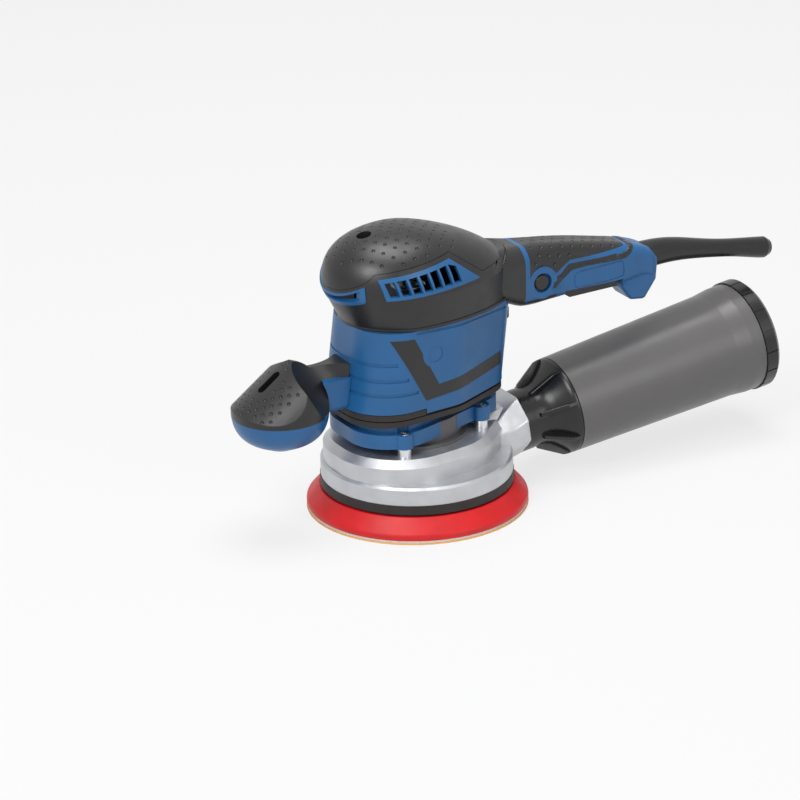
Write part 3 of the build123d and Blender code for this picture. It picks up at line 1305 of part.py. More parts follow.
def wheel_pocket():
    """Slot of the speed wheel with room for its pin."""
    x, z = wheel_place()
    room = column(WHEEL_RADIUS + WHEEL_TOOTH, z - WHEEL_WIDTH / 2 - SEAM_GAP, z + WHEEL_WIDTH / 2 + SEAM_GAP, x)
    pin = column(2 + RUNNING_GAP, z - WHEEL_WIDTH / 2 - 4, z + WHEEL_WIDTH / 2 + 4, x)
    return room + pin


def make_speed_wheel():
    """Knurled thumb wheel on a short pin."""
    x, z = wheel_place()
    rim = column(WHEEL_RADIUS, z - WHEEL_WIDTH / 2, z + WHEEL_WIDTH / 2)
    notch = Pos(WHEEL_RADIUS, 0, z) * Cylinder(WHEEL_TOOTH, WHEEL_WIDTH)
    notches = [Rot(0, 0, index * 360 / WHEEL_TEETH) * notch for index in range(WHEEL_TEETH)]
    pin = column(2, z - WHEEL_WIDTH / 2 - 3.7, z + WHEEL_WIDTH / 2 + 3.7)
    return Pos(x, 0, 0) * (rim - notches + pin)


# ================================================================ assembly
def build_parts():
    """All pieces by node name."""
    return {
        "sanding_disc": make_sanding_disc(),
        "hook_face": make_hook_face(),
        "pad_foam": make_pad_foam(),
        "pad_plate": make_pad_plate(),
        "pad_spindle": make_pad_spindle(),
        "pad_screw": make_pad_screw(),
        "pad_bearing": make_pad_bearing(),
        "eccentric_hub": make_eccentric_hub(),
        "counterweight": make_counterweight(),
        "suction_fan": make_fan(),
        "lower_bearing": make_bearing(SHROUD_TOP - SHROUD_ROOF + 1),
        "upper_bearing": make_bearing(BRIDGE_Z),
        "motor_shaft": make_shaft(),
        "armature_core": make_armature_core(),
        "commutator": make_commutator(),
        "stator": make_stator(),
        "field_coils": make_field_coils(),
        "carbon_brushes": make_brushes(),
        "brush_holders": make_brush_holders(),
        "brake_ring": make_brake_ring(),
        "dust_shroud": make_dust_shroud(),
        "bearing_flange": make_bearing_flange(),
        "spacer_posts": make_spacer_posts(),
        "flange_screws": make_flange_screws(),
        "lower_ring": make_lower_ring(),
        "damping_band": make_damping_band(),
        "motor_housing": make_motor_housing(),
        "side_inlay_left": make_side_inlay(-1),
        "side_inlay_right": make_side_inlay(1),
        "upper_housing": make_upper_housing(),
        "side_vent_left": make_side_vent(-1),
        "side_vent_right": make_side_vent(1),
        "front_vent": make_front_vent(),
        "top_cover": make_top_cover(),
        "cover_screw": make_cover_screw(),
        "handle_shell_left": make_handle_shell(-1),
        "handle_shell_right": make_handle_shell(1),
        "handle_top_grip": make_top_grip(),
        "handle_strip_left": make_side_strip(-1),
        "handle_strip_right": make_side_strip(1),
        "neck_grip": make_neck_grip(),
        "switch_trigger": make_trigger(),
        "lock_button": make_lock_button(),
        "switch_module": make_switch_module(),
        "cord_sleeve": make_cord_sleeve(),
        "knob_upper": make_knob_upper(),
        "knob_lower": make_knob_lower(),
        "knob_screw": make_knob_screw(),
        "box_adapter": make_box_adapter(),
        "box_container": make_box_container(),
        "box_cap": make_box_cap(),
        "dust_filter": make_dust_filter(),
        "speed_wheel": make_speed_wheel(),
    }


def main():
    """Write every piece to its own file."""
    os.makedirs("parts", exist_ok=True)
    for name, shape in build_parts().items():
        solids = shape if isinstance(shape, list) else list(shape.solids())
        piece = Compound(children=solids) if len(solids) > 1 else solids[0]
        export_step(piece, f"parts/{name}.step")


if __name__ == "__main__":
    main()
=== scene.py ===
import json
import math

import bmesh
import bpy
from mathutils import Matrix, Vector
from mathutils.bvhtree import BVHTree


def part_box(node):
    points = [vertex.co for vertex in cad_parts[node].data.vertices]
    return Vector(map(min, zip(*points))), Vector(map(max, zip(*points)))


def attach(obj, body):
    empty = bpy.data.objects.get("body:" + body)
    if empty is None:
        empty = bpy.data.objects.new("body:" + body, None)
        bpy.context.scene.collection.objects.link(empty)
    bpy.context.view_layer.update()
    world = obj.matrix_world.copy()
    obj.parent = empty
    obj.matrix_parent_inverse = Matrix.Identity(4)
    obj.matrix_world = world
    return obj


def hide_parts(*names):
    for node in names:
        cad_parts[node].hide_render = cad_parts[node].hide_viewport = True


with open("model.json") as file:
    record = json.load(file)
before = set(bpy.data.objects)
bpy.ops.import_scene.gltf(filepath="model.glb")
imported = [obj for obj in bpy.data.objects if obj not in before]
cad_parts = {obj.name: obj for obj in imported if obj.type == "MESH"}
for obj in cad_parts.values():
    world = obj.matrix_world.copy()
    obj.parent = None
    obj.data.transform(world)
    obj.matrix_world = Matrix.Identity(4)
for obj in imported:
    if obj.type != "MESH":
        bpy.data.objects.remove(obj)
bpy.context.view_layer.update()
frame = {"nodes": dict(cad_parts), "record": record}
NODES = frame["nodes"]
MM = 0.001

# ------------------------------------------------------------------ camera
VIEW_AZIMUTH = math.radians(29.0)
VIEW_ELEVATION = math.radians(22.03)
VIEW_ROLL = math.radians(1.4)
CAMERA_PLACE = Vector((-1.51623, -2.71412, 1.33164))
FOCAL_LENGTH = 225.0
SENSOR_WIDTH = 36.0


def make_camera():
    """Long lens at the photographer's place, turned by the photograph's slight roll."""
    forward = Vector((math.sin(VIEW_AZIMUTH) * math.cos(VIEW_ELEVATION),
                      math.cos(VIEW_AZIMUTH) * math.cos(VIEW_ELEVATION),
                      -math.sin(VIEW_ELEVATION)))
    level = Vector((math.cos(VIEW_AZIMUTH), -math.sin(VIEW_AZIMUTH), 0.0))
    upright = level.cross(forward)
    right = math.cos(VIEW_ROLL) * level - math.sin(VIEW_ROLL) * upright
    top = math.sin(VIEW_ROLL) * level + math.cos(VIEW_ROLL) * upright
    turn = Matrix((right, top, -forward)).transposed().to_4x4()
    data = bpy.data.cameras.new("camera")
    data.lens = FOCAL_LENGTH
    data.sensor_width = SENSOR_WIDTH
    data.clip_end = 50.0
    camera = bpy.data.objects.new("camera", data)
    camera.matrix_world = Matrix.Translation(CAMERA_PLACE) @ turn
    bpy.context.scene.collection.objects.link(camera)
    bpy.context.scene.camera = camera


# ------------------------------------------------------------------ materials
class Shade:
    """A material's node tree: a Principled shader and short calls that add to it."""

    def __init__(self, name, colour, rough, metal=0.0):
        self.material = bpy.data.materials.new(name)
        self.material.use_nodes = True
        self.tree = self.material.node_tree
        self.shader = self.tree.nodes["Principled BSDF"]
        self.colour = colour
        self.rough = rough
        self.set("Base Color", colour)
        self.set("Roughness", rough)
        self.set("Metallic", metal)
        self.place = self.add("ShaderNodeTexCoord").outputs["Object"]
        self.height = None

    def set(self, name, value):
        if isinstance(value, tuple):
            value = (*value, 1.0)
        self.shader.inputs[name].default_value = value

    def add(self, kind, **settings):
        node = self.tree.nodes.new(kind)
        for name, value in settings.items():
            setattr(node, name, value)
        return node

    def join(self, start, end):
        self.tree.links.new(start, end)

    def noise(self, size, detail=2.0, stretch=(1.0, 1.0, 1.0)):
        """Noise with features of about size metres."""
        place = self.add("ShaderNodeMapping")
        place.inputs["Scale"].default_value = stretch
        self.join(self.place, place.inputs["Vector"])
        node = self.add("ShaderNodeTexNoise")
        node.inputs["Scale"].default_value = 1.0 / size
        node.inputs["Detail"].default_value = detail
        self.join(place.outputs["Vector"], node.inputs["Vector"])
        return node.outputs["Fac"]

    def cells(self, size):
        """Cells of about size metres."""
        node = self.add("ShaderNodeTexVoronoi", feature="F1")
        node.inputs["Scale"].default_value = 1.0 / size
        self.join(self.place, node.inputs["Vector"])
        return node.outputs["Distance"]

    def spread(self, value, low, high, start=0.3, end=0.7):
        """Spreads a noise value from low to high."""
        node = self.add("ShaderNodeMapRange")
        node.inputs["From Min"].default_value = start
        node.inputs["From Max"].default_value = end
        node.inputs["To Min"].default_value = low
        node.inputs["To Max"].default_value = high
        self.join(value, node.inputs["Value"])
        return node.outputs["Result"]

    def blend(self, fac, first, second):
        """Colour between two others."""
        node = self.add("ShaderNodeMix", data_type="RGBA")
        self.join(fac, node.inputs["Factor"])
        for socket, value in (("A_Color", first), ("B_Color", second)):
            target = next(s for s in node.inputs if s.identifier == socket)
            if isinstance(value, tuple):
                target.default_value = (*value, 1.0)
            else:
                self.join(value, target)
        return next(s for s in node.outputs if s.identifier == "Result_Color")

    def mottle(self, size, amount):
        """Makes the base colour a little lighter and darker in patches."""
        darker = tuple(c * (1.0 - amount) for c in self.colour)
        lighter = tuple(min(c * (1.0 + amount), 1.0) for c in self.colour)
        patch = self.spread(self.noise(size), 0.0, 1.0)
        self.join(self.blend(patch, darker, lighter), self.shader.inputs["Base Color"])

    def rub(self, size, amount):
        """Makes the roughness vary in patches."""
        patch = self.noise(size, detail=4.0)
        self.join(self.spread(patch, self.rough - amount, self.rough + amount),
                  self.shader.inputs["Roughness"])

    def bump(self, value, depth):
        """Adds relief of a depth in metres on top of the relief so far."""
        node = self.add("ShaderNodeBump")
        node.inputs["Distance"].default_value = depth
        node.inputs["Strength"].default_value = 1.0
        self.join(value, node.inputs["Height"])
        if self.height:
            self.join(self.height, node.inputs["Normal"])
        self.height = node.outputs["Normal"]
        self.join(self.height, self.shader.inputs["Normal"])


def moulded(name, colour, rough, grain=0.00045, depth=0.00003, mottle=0.05):
    """Moulded plastic with a fine spark texture."""
    shade = Shade(name, colour, rough)
    shade.mottle(0.02, mottle)
    shade.rub(0.012, 0.05)
    shade.bump(shade.noise(grain, detail=3.0), depth)
    return shade


def soft_grip(name, colour, rough):
    """Rubbery moulding, a little rougher and with a pebbled skin."""
    shade = Shade(name, colour, rough)
    shade.mottle(0.015, 0.08)
    shade.rub(0.01, 0.06)
    shade.bump(shade.cells(0.0006), 0.00003)
    shade.bump(shade.noise(0.004), 0.00003)
    return shade


def cast_metal(name, colour, rough):
    """Bead-blasted casting: metal with a sandy surface and faint flow marks."""
    shade = Shade(name, colour, rough, metal=0.85)
    shade.mottle(0.012, 0.06)
    shade.rub(0.006, 0.07)
    shade.bump(shade.noise(0.0006, detail=4.0), 0.00005)
    shade.bump(shade.noise(0.01), 0.00008)
    return shade


def turned_metal(name, colour, rough, stretch=(1.0, 1.0, 14.0)):
    """Turned metal with fine rings round the vertical axis."""
    shade = Shade(name, colour, rough, metal=1.0)
    shade.mottle(0.006, 0.05)
    shade.rub(0.004, 0.06)
    shade.bump(shade.noise(0.003, detail=3.0, stretch=stretch), 0.00002)
    return shade


def make_materials():
    """Materials by the names of the record's slots, and a dark grey one that paints the shade falling on
    the bearing flange's collar.
    """
    blue = moulded("blue_moulding", (0.012, 0.11, 0.29), 0.38)
    charcoal = soft_grip("charcoal_skin", (0.014, 0.014, 0.015), 0.36)
    black = moulded("black_moulding", (0.01, 0.01, 0.011), 0.28, grain=0.0008, depth=0.00002)
    rubber = soft_grip("black_rubber", (0.016, 0.013, 0.012), 0.6)
    aluminium = cast_metal("cast_aluminium", (0.56, 0.57, 0.59), 0.4)
    bright = turned_metal("bright_aluminium", (0.72, 0.73, 0.75), 0.28)
    steel = turned_metal("turned_steel", (0.55, 0.56, 0.58), 0.3)
    laminations = turned_metal("lamination_stack", (0.2, 0.21, 0.23), 0.4, stretch=(1.0, 1.0, 40.0))
    copper = turned_metal("enamelled_copper", (0.52, 0.17, 0.06), 0.32, stretch=(1.0, 1.0, 20.0))
    brass = turned_metal("pressed_brass", (0.6, 0.42, 0.14), 0.34)
    carbon = soft_grip("pressed_carbon", (0.03, 0.03, 0.03), 0.5)
    plate = moulded("dark_moulding", (0.03, 0.03, 0.033), 0.42)
    red = soft_grip("red_foam", (0.66, 0.006, 0.009), 0.45)
    # painted shade: a dark grey moulding standing in for the shadow on the bearing flange's collar under
    # the blue ring
    socket = moulded("painted_shade_collar", (0.1, 0.1, 0.105), 0.4)
    grain = Shade("abrasive_grain", (0.91, 0.474, 0.127), 0.85)
    grain.mottle(0.0007, 0.16)
    grain.bump(grain.cells(0.0004), 0.00012)
    grain.bump(grain.noise(0.00025, detail=3.0), 0.00006)
    hooks = Shade("hook_nylon", (0.72, 0.71, 0.66), 0.7)
    hooks.mottle(0.001, 0.12)
    hooks.bump(hooks.cells(0.0006), 0.0002)
    smoke = moulded("smoky_container", (0.125, 0.12, 0.12), 0.34, grain=0.0012, depth=0.00001, mottle=0.02)
    paper = Shade("filter_paper", (0.74, 0.7, 0.58), 0.8)
    paper.mottle(0.002, 0.07)
    paper.bump(paper.noise(0.0005, detail=4.0), 0.00006)
    slots = {
        "abrasive": grain, "hook_nylon": hooks, "pad_red": red, "pad_plate": plate,
        "steel": steel, "cast_aluminium": aluminium, "bright_aluminium": bright,
        "copper": copper, "laminations": laminations, "carbon": carbon, "brass": brass,
        "blue_shell": blue, "black_shell": black, "soft_grip": charcoal, "rubber": rubber,
        "dust_box": smoke, "filter_paper": paper, "painted_shade_collar": socket,
    }
    return {name: shade.material for name, shade in slots.items()}


# ------------------------------------------------------------------ CAD nodes
# nodes whose finish in the photograph isn't that of their slot in the record; the bearing flange instead
# gets a dark grey that paints the shade falling on its collar
FINISH = {
    # painted shade: the collar is made dark grey where shadow falls on it, not for its own colour
    "bearing_flange": "painted_shade_collar",
    "lower_ring": "blue_shell",
    "upper_housing": "soft_grip",
    "switch_trigger": "soft_grip",
    "lock_button": "soft_grip",
    "handle_strip_left": "soft_grip",
    "handle_strip_right": "soft_grip",
    "box_adapter": "black_shell",
    "box_cap": "black_shell",
    "cord_sleeve": "black_shell",
}


def dress_nodes(materials):
    """Gives every CAD node the material of its slot, or the one that suits the photograph better."""
    slots = {part["node"]: part["material_slot"] for part in frame["record"]["subparts"]}
    for name, node in NODES.items():
        material = materials[FINISH.get(name, slots[name])]
        for slot in node.material_slots:
            slot.material = material


# ------------------------------------------------------------------ dimples and grooves
TOOL_SIDES = 10
TOOL_CREASE = 40.0
DIMPLE_RADIUS = 1.5 * MM
DIMPLE_LIFT = 0.6 * MM
DIMPLE_MARGIN = 1.9 * MM
CREASE = math.cos(math.radians(35.0))


def level_normal(corners, place):
    """Blend of a triangle's corner normals at a place on it."""
    (a, b, c), normals = corners
    u, v, w = b - a, c - a, place - a
    uu, uv, vv, wu, wv = u.dot(u), u.dot(v), v.dot(v), w.dot(u), w.dot(v)
    scale = uu * vv - uv * uv
    if scale < 1e-24:
        return normals[0]
    s = min(max((vv * wu - uv * wv) / scale, 0.0), 1.0)
    t = min(max((uu * wv - uv * wu) / scale, 0.0), 1.0 - s)
    return ((1.0 - s - t) * normals[0] + s * normals[1] + t * normals[2]).normalized()


class Surface:
    """A mesh's triangles with their corner normals, to find points on it and to shade a cut copy of it."""

    def __init__(self, mesh, sign=1.0):
        mesh.calc_loop_triangles()
        points = [v.co.copy() for v in mesh.vertices]
        normals = [n.vector.copy() * sign for n in mesh.corner_normals]
        triangles = [tuple(t.vertices) for t in mesh.loop_triangles]
        self.corners = [([points[i] for i in t.vertices], [normals[i] for i in t.loops])
                        for t in mesh.loop_triangles]
        self.tree = BVHTree.FromPolygons(points, triangles)

    def normals(self, middle, places):
        """Normals at the corners of a face whose middle lies on this surface."""
        corners = self.corners[self.tree.find_nearest(middle)[2]]
        return [level_normal(corners, place) for place in places]

    def hit(self, start, direction):
        """Point and normal where a ray meets the surface, or None."""
        place, _, index, _ = self.tree.ray_cast(start, direction)
        if place is None:
            return None
        return place, level_normal(self.corners[index], place)

    def open_hit(self, start, direction, margin):
        """Point and normal under a start, if the surface runs on smoothly by a margin all round it."""
        middle = self.hit(start, direction)
        if middle is None:
            return None
        across = direction.orthogonal().normalized()
        for step in range(8):
            turn = Matrix.Rotation(step * math.pi / 4.0, 3, direction)
            beside = self.hit(start + margin * (turn @ across), direction)
            if beside is None or beside[1].dot(middle[1]) < CREASE:
                return None
            if abs((beside[0] - middle[0]).dot(middle[1])) > margin / 2.0:
                return None
        return middle


def ball_tool(tool, place, radius):
    """Adds a ball to the tool."""
    bmesh.ops.create_icosphere(tool, subdivisions=2, radius=radius, matrix=Matrix.Translation(place))


def groove_tool(tool, points, radii):
    """Closed tube along points, with a radius at each."""
    rings = []
    for index, point in enumerate(points):
        before = points[max(index - 1, 0)]
        after = points[min(index + 1, len(points) - 1)]
        turn = (after - before).to_track_quat("Z", "Y").to_matrix()
        ring = []
        for side in range(TOOL_SIDES):
            angle = 2.0 * math.pi * side / TOOL_SIDES
            offset = turn @ Vector((math.cos(angle), math.sin(angle), 0.0))
            ring.append(tool.verts.new(point + radii[index] * offset))
        rings.append(ring)
    for low, high in zip(rings, rings[1:]):
        for side in range(TOOL_SIDES):
            other = (side + 1) % TOOL_SIDES
            tool.faces.new((low[side], low[other], high[other], high[side]))
    tool.faces.new(rings[0][::-1])
    tool.faces.new(rings[-1])


def mesh_object(name, shape, material):
    """Object with the mesh of a bmesh, which is freed."""
    mesh = bpy.data.meshes.new(name)
    shape.to_mesh(mesh)
    shape.free()
    mesh.materials.append(material)
    thing = bpy.data.objects.new(name, mesh)
    bpy.context.scene.collection.objects.link(thing)
    return thing


def smooth_but(mesh, angle):
    """Shades a mesh smooth, apart from edges that turn by more than an angle in degrees."""
    mesh.shade_smooth()
    mesh.set_sharp_from_angle(angle=math.radians(angle))


def boolean(piece, other, operation):
    """Modifier that joins another mesh to a piece or cuts it away."""
    step = piece.modifiers.new(operation.lower(), "BOOLEAN")
    step.operation = operation
    step.solver = "EXACT"
    step.use_self = True
    step.material_mode = "TRANSFER"
    step.object = other


def settle(piece, *others):
    """Applies a piece's modifiers, removes the objects that they used, and returns the new mesh."""
    bpy.context.view_layer.update()
    graph = bpy.context.evaluated_depsgraph_get()
    result = bpy.data.meshes.new_from_object(piece.evaluated_get(graph))
    piece.modifiers.clear()
    piece.data = result
    for other in others:
        bpy.data.objects.remove(other)
    return result


def closed_between(shape, near, far):
    """Faces of a solid between two matching outlines."""
    shape.faces.new(near)
    shape.faces.new(far[::-1])
    for index in range(len(near)):
        other = (index + 1) % len(near)
        shape.faces.new((near[index], far[index], far[other], near[other]))


def carve(node_name, body, tool, filler=None):
    """Replaces a node with a copy that the tool has cut, shaded as the node is beside the cuts."""
    node = NODES[node_name]
    material = node.material_slots[0].material
    whole = bmesh.new()
    whole.from_mesh(node.data)
    bmesh.ops.remove_doubles(whole, verts=whole.verts, dist=1e-7)
    piece = mesh_object(node_name + "_carved", whole, material)
    marked = bpy.data.materials.new(node_name + "_cut")
    bmesh.ops.recalc_face_normals(tool, faces=tool.faces)
    cutter = mesh_object(node_name + "_tool", tool, marked)
    smooth_but(cutter.data, TOOL_CREASE)
    surfaces = {False: Surface(node.data), True: Surface(cutter.data, sign=-1.0)}
    used = [cutter]
    if filler:
        boolean(piece, filler, "UNION")
        used.append(filler)
    boolean(piece, cutter, "DIFFERENCE")
    result = settle(piece, *used)
    names = [kind.name if kind else "" for kind in result.materials]
    normals = [Vector((0.0, 0.0, 1.0))] * len(result.loops)
    for face in result.polygons:
        inside = names[face.material_index] == marked.name
        places = [result.vertices[i].co for i in face.vertices]
        found = surfaces[inside].normals(face.center, places)
        for loop, normal in zip(face.loop_indices, found):
            normals[loop] = normal
        face.material_index = 0
    result.shade_smooth()
    result.normals_split_custom_set(normals)
    result.materials.clear()
    result.materials.append(material)
    bpy.data.materials.remove(marked)
    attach(piece, body)
    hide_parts(node_name)


# ------------------------------------------------------------------ carved details
COVER_PITCH = (8.9 * MM, 5.4 * MM)
COVER_START = (-12.8 * MM, 2.7 * MM)
COVER_ROWS = 8
COVER_COLUMNS = 7
COVER_REAR = 22.0 * MM
COVER_STEEPEST = 0.2
GRIP_START = 76.4 * MM
GRIP_PITCH = 8.03 * MM
GRIP_COLUMNS = 11
# rows of dimples lie at these angles round the grip's middle line, in degrees
GRIP_TURNS = (0.0, 14.0, 27.0, 40.0, 53.0, 66.0)
GRIP_MIDDLE = 147.0 * MM
GRIP_FALL = -0.16
GRIP_REACH = 50.0 * MM
# X, Y and Z in millimetres, for one side
NECK_GROOVES = (
    ((64, 0, 174), (57, 12, 174), (52, 21, 173), (48, 28, 170), (45, 32, 167)),
    ((68, 3, 172), (62.5, 15, 171), (59, 20, 169), (56, 24, 166), (51, 28, 161)),
)
NECK_GROOVE_WIDTH = 0.9 * MM
NECK_GROOVE_END = 0.15
BADGE_PLACE = (-6.0 * MM, 121.0 * MM)
BADGE_RADIUS = 5.6 * MM
BADGE_DEPTH = 0.45 * MM
# X and Z in millimetres
RIM_GROOVE = ((-20, 138.2), (0, 137.6), (20, 136.8), (40, 135.4), (60, 133.8))
RIM_GROOVE_WIDTH = 0.8 * MM
KNOB_FACE_PLACE = Vector((-110.2, 0.0, 110.2)) * MM
KNOB_FACE_ANGLE = 35.6
KNOB_FACE_RADIUS = 42.0 * MM
KNOB_SCOOP_PLACE = (-67.5 * MM, 35.0 * MM, 107.0 * MM)
KNOB_SCOOP_RADIUS = 26.0 * MM
KNOB_SCOOP_LEAN = math.radians(35.0)
KNOB_SCOOP_TURN = math.radians(45.0)
KNOB_SCOOP_CLEAR = 2.0 * MM
KNOB_SLOT = (19.0 * MM, 6.6 * MM)
KNOB_SLOT_CLEAR = (3.0 * MM, 8.0 * MM)
KNOB_SLOT_DEPTH = 11.0 * MM
KNOB_PITCH = (8.45 * MM, 3.4 * MM)
KNOB_START = 1.2 * MM
KNOB_ROWS = 7
KNOB_COLUMNS = 4
KNOB_MARGIN = 1.6 * MM
KNOB_ROOF_HALF = 0.95 * KNOB_FACE_RADIUS
KNOB_DIMPLE_HALF = 0.9 * KNOB_FACE_RADIUS
OLD_SLOT_PLACE = Vector((-110.5, -13.0, 116.0)) * MM
OLD_SLOT_SIZE = Vector((26.0, 12.0, 16.0)) * MM
# X and Z in millimetres: the strip along the grip's lower edge, and the groove round the bare field
HANDLE_BAND = (
    (97.5, 138.8), (99.0, 142.6), (106.5, 147.2), (112.0, 152.6), (128.6, 152.4), (145.0, 151.9),
    (153.5, 151.6), (158.6, 152.4), (161.8, 154.2), (163.4, 162.0), (168.6, 162.0), (167.2, 155.0),
    (161.3, 150.4), (156.4, 148.2), (136.2, 148.7), (124.6, 148.8), (114.5, 148.1), (108.9, 144.2),
    (102.5, 139.3),
)
BAND_LIFT = 0.35 * MM
BAND_REACH = (1.0 * MM, 40.0 * MM)
BAND_CREASE = 35.0
FIELD_LINE = (
    (118.0, 134.4), (117.0, 136.5), (116.6, 140.0), (117.4, 143.6), (121.0, 145.4), (135.0, 146.3),
    (151.6, 146.9), (154.4, 145.6), (155.3, 141.5), (155.2, 137.5), (153.2, 135.7), (136.0, 134.6),
    (118.0, 134.4),
)
FIELD_GROOVE_WIDTH = 0.45 * MM
OUTLET_PLACE = Vector((80.0, 0.0, 41.3)) * MM
OUTLET_TILT = 7.6
# radius and distance along the outlet's axis, in millimetres
ADAPTER_PROFILE = (
    (21.3, -6.6), (21.3, 3.0), (20.8, 8.0), (21.2, 12.0), (22.6, 16.0), (25.4, 20.0), (28.8, 24.0),
    (31.8, 27.4), (33.4, 29.0), (33.8, 30.2), (33.8, 31.3), (31.0, 31.3), (29.0, 28.5), (22.0, 20.0),
    (16.2, 14.0), (16.2, 0.4), (20.8, 0.4), (20.8, -6.6),
)
ADAPTER_CREASE = 32.0
ADAPTER_RIBS = 8
ADAPTER_RIB_WIDTH = 2.8
ADAPTER_RIB_EDGE = 0.35 * MM
ADAPTER_RIB_LINE = (
    (19.6, 6.0), (22.9, 7.0), (33.2, 24.0), (33.7, 27.0), (33.7, 30.6), (30.5, 30.6), (19.6, 14.0),
)
# distance along the axis, half width, underside, top and corner cut, in millimetres
OUTLET_SECTIONS = (
    (-34.0, 21.0, -17.5, 8.0, 4.0), (-16.0, 25.0, -17.5, 17.0, 10.0),
    (-10.0, 25.5, -17.5, 21.5, 12.0), (-5.0, 24.8, -17.0, 23.2, 12.5),
)
OUTLET_EDGE = 1.6 * MM
OUTLET_EDGE_ANGLE = math.radians(20.0)
OUTLET_CREASE = 28.0
SOCKET_PROFILE = ((0.001, -7.0), (21.6, -7.0), (21.6, 30.0), (0.001, 30.0))
ROOF_STEPS = 40
SLOT_STEPS = 24
SCOOP_STEPS = 72
TURN_STEPS = 96
FAR = 200.0 * MM


def ball_row(tool, found):
    """Dimple cutters at the surface points found."""
    for place, normal in found:
        ball_tool(tool, place + DIMPLE_LIFT * normal, DIMPLE_RADIUS)


def dimple_cover():
    """Rows of dimples over the dome of the top cover."""
    surface = Surface(NODES["top_cover"].data)
    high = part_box("top_cover")[1]
    found = []
    for row in range(-COVER_ROWS, COVER_ROWS):
        y = COVER_START[1] + row * COVER_PITCH[1]
        shift = 0.0 if row % 2 == 0 else COVER_PITCH[0] / 2.0
        for column in range(-COVER_COLUMNS, COVER_COLUMNS):
            x = COVER_START[0] + shift + column * COVER_PITCH[0]
            start = Vector((x, y, high.z + MM))
            hit = surface.open_hit(start, Vector((0.0, 0.0, -1.0)), DIMPLE_MARGIN)
            if hit and x < COVER_REAR and hit[1].z > COVER_STEEPEST:
                found.append(hit)
    tool = bmesh.new()
    ball_row(tool, found)
    carve("top_cover", "housing", tool)


def dimple_grip():
    """Staggered dimples round the top and flanks of the handle's grip."""
    surface = Surface(NODES["handle_top_grip"].data)
    found = []
    for row, turn in enumerate(GRIP_TURNS):
        for side in ((1.0,) if turn == 0.0 else (-1.0, 1.0)):
            angle = math.radians(turn)
            inward = Vector((0.0, -side * math.sin(angle), -math.cos(angle)))
            for column in range(GRIP_COLUMNS):
                x = GRIP_START + (column + 0.5 * (row % 2)) * GRIP_PITCH
                middle = Vector((x, 0.0, GRIP_MIDDLE + GRIP_FALL * (x - GRIP_START)))
                hit = surface.open_hit(middle - GRIP_REACH * inward, inward, DIMPLE_MARGIN)
                if hit:
                    found.append(hit)
    tool = bmesh.new()
    ball_row(tool, found)
    carve("handle_top_grip", "housing", tool)


def snapped(surface, points):
    """Surface points nearest to points given in millimetres."""
    return [surface.tree.find_nearest(MM * Vector(point))[0] for point in points]


def finer(points, steps=4):
    """More points on the smooth curve through the points."""
    more = []
    for index in range(len(points) - 1):
        ends = [points[min(max(index + offset, 0), len(points) - 1)] for offset in (-1, 0, 1, 2)]
        for step in range(steps):
            t = step / steps
            more.append(0.5 * (2.0 * ends[1] + t * (ends[2] - ends[0])
                               + t * t * (2.0 * ends[0] - 5.0 * ends[1] + 4.0 * ends[2] - ends[3])
                               + t * t * t * (3.0 * ends[1] - ends[0] - 3.0 * ends[2] + ends[3])))
    return more + [points[-1]]


def groove_neck():
    """Two curved grooves that fade out at their ends, on each side of the neck."""
    surface = Surface(NODES["upper_housing"].data)
    tool = bmesh.new()
    for side in (-1, 1):
        for line in NECK_GROOVES:
            points = finer(snapped(surface, [(x, side * y, z) for x, y, z in line]))
            last = len(points) - 1
            fade = [math.sin(math.pi * i / last) for i in range(last + 1)]
            radii = [NECK_GROOVE_WIDTH * (NECK_GROOVE_END + share) for share in fade]
            groove_tool(tool, points, radii)
    carve("upper_housing", "housing", tool)


def groove_body():
    """Fine groove under the rim of the motor housing and a bare round field on each flank."""
    surface = Surface(NODES["motor_housing"].data)
    tool = bmesh.new()
    for side in (-1, 1):
        across = Vector((0.0, -side, 0.0))
        line = finer([Vector((x * MM, side * FAR, z * MM)) for x, z in RIM_GROOVE], 8)
        points = [surface.hit(place, across)[0] for place in line]
        groove_tool(tool, points, [RIM_GROOVE_WIDTH] * len(points))
        x, z = BADGE_PLACE
        middle, normal = surface.hit(Vector((x, side * FAR, z)), across)
        ring_tool(tool, middle, normal, BADGE_RADIUS, BADGE_DEPTH)
    carve("motor_housing", "housing", tool)


def knob_frame():
    """Frame on the sloping face of the knob: X up the slope, Z out of it."""
    angle = math.radians(KNOB_FACE_ANGLE)
    along = Vector((math.cos(angle), 0.0, math.sin(angle)))
    out = Vector((-math.sin(angle), 0.0, math.cos(angle)))
    turn = Matrix((along, Vector((0.0, 1.0, 0.0)), out)).transposed().to_4x4()
    return Matrix.Translation(KNOB_FACE_PLACE) @ turn


def face_drop(across):
    """How far the knob's rounded face falls off at a distance across it."""
    return KNOB_FACE_RADIUS - math.sqrt(KNOB_FACE_RADIUS ** 2 - across ** 2)


def roof_tool(tool, face):
    """Block with a hollow underside, which leaves the knob's rounded face."""
    rows = [KNOB_ROOF_HALF * (2.0 * i / ROOF_STEPS - 1.0) for i in range(ROOF_STEPS + 1)]
    outline = [(y, -face_drop(y)) for y in rows]
    outline += [(KNOB_ROOF_HALF, KNOB_FACE_RADIUS), (-KNOB_ROOF_HALF, KNOB_FACE_RADIUS)]
    ends = []
    for x in (-1.5 * KNOB_FACE_RADIUS, 1.5 * KNOB_FACE_RADIUS):
        ends.append([tool.verts.new(face @ Vector((x, y, z))) for y, z in outline])
    closed_between(tool, *ends)


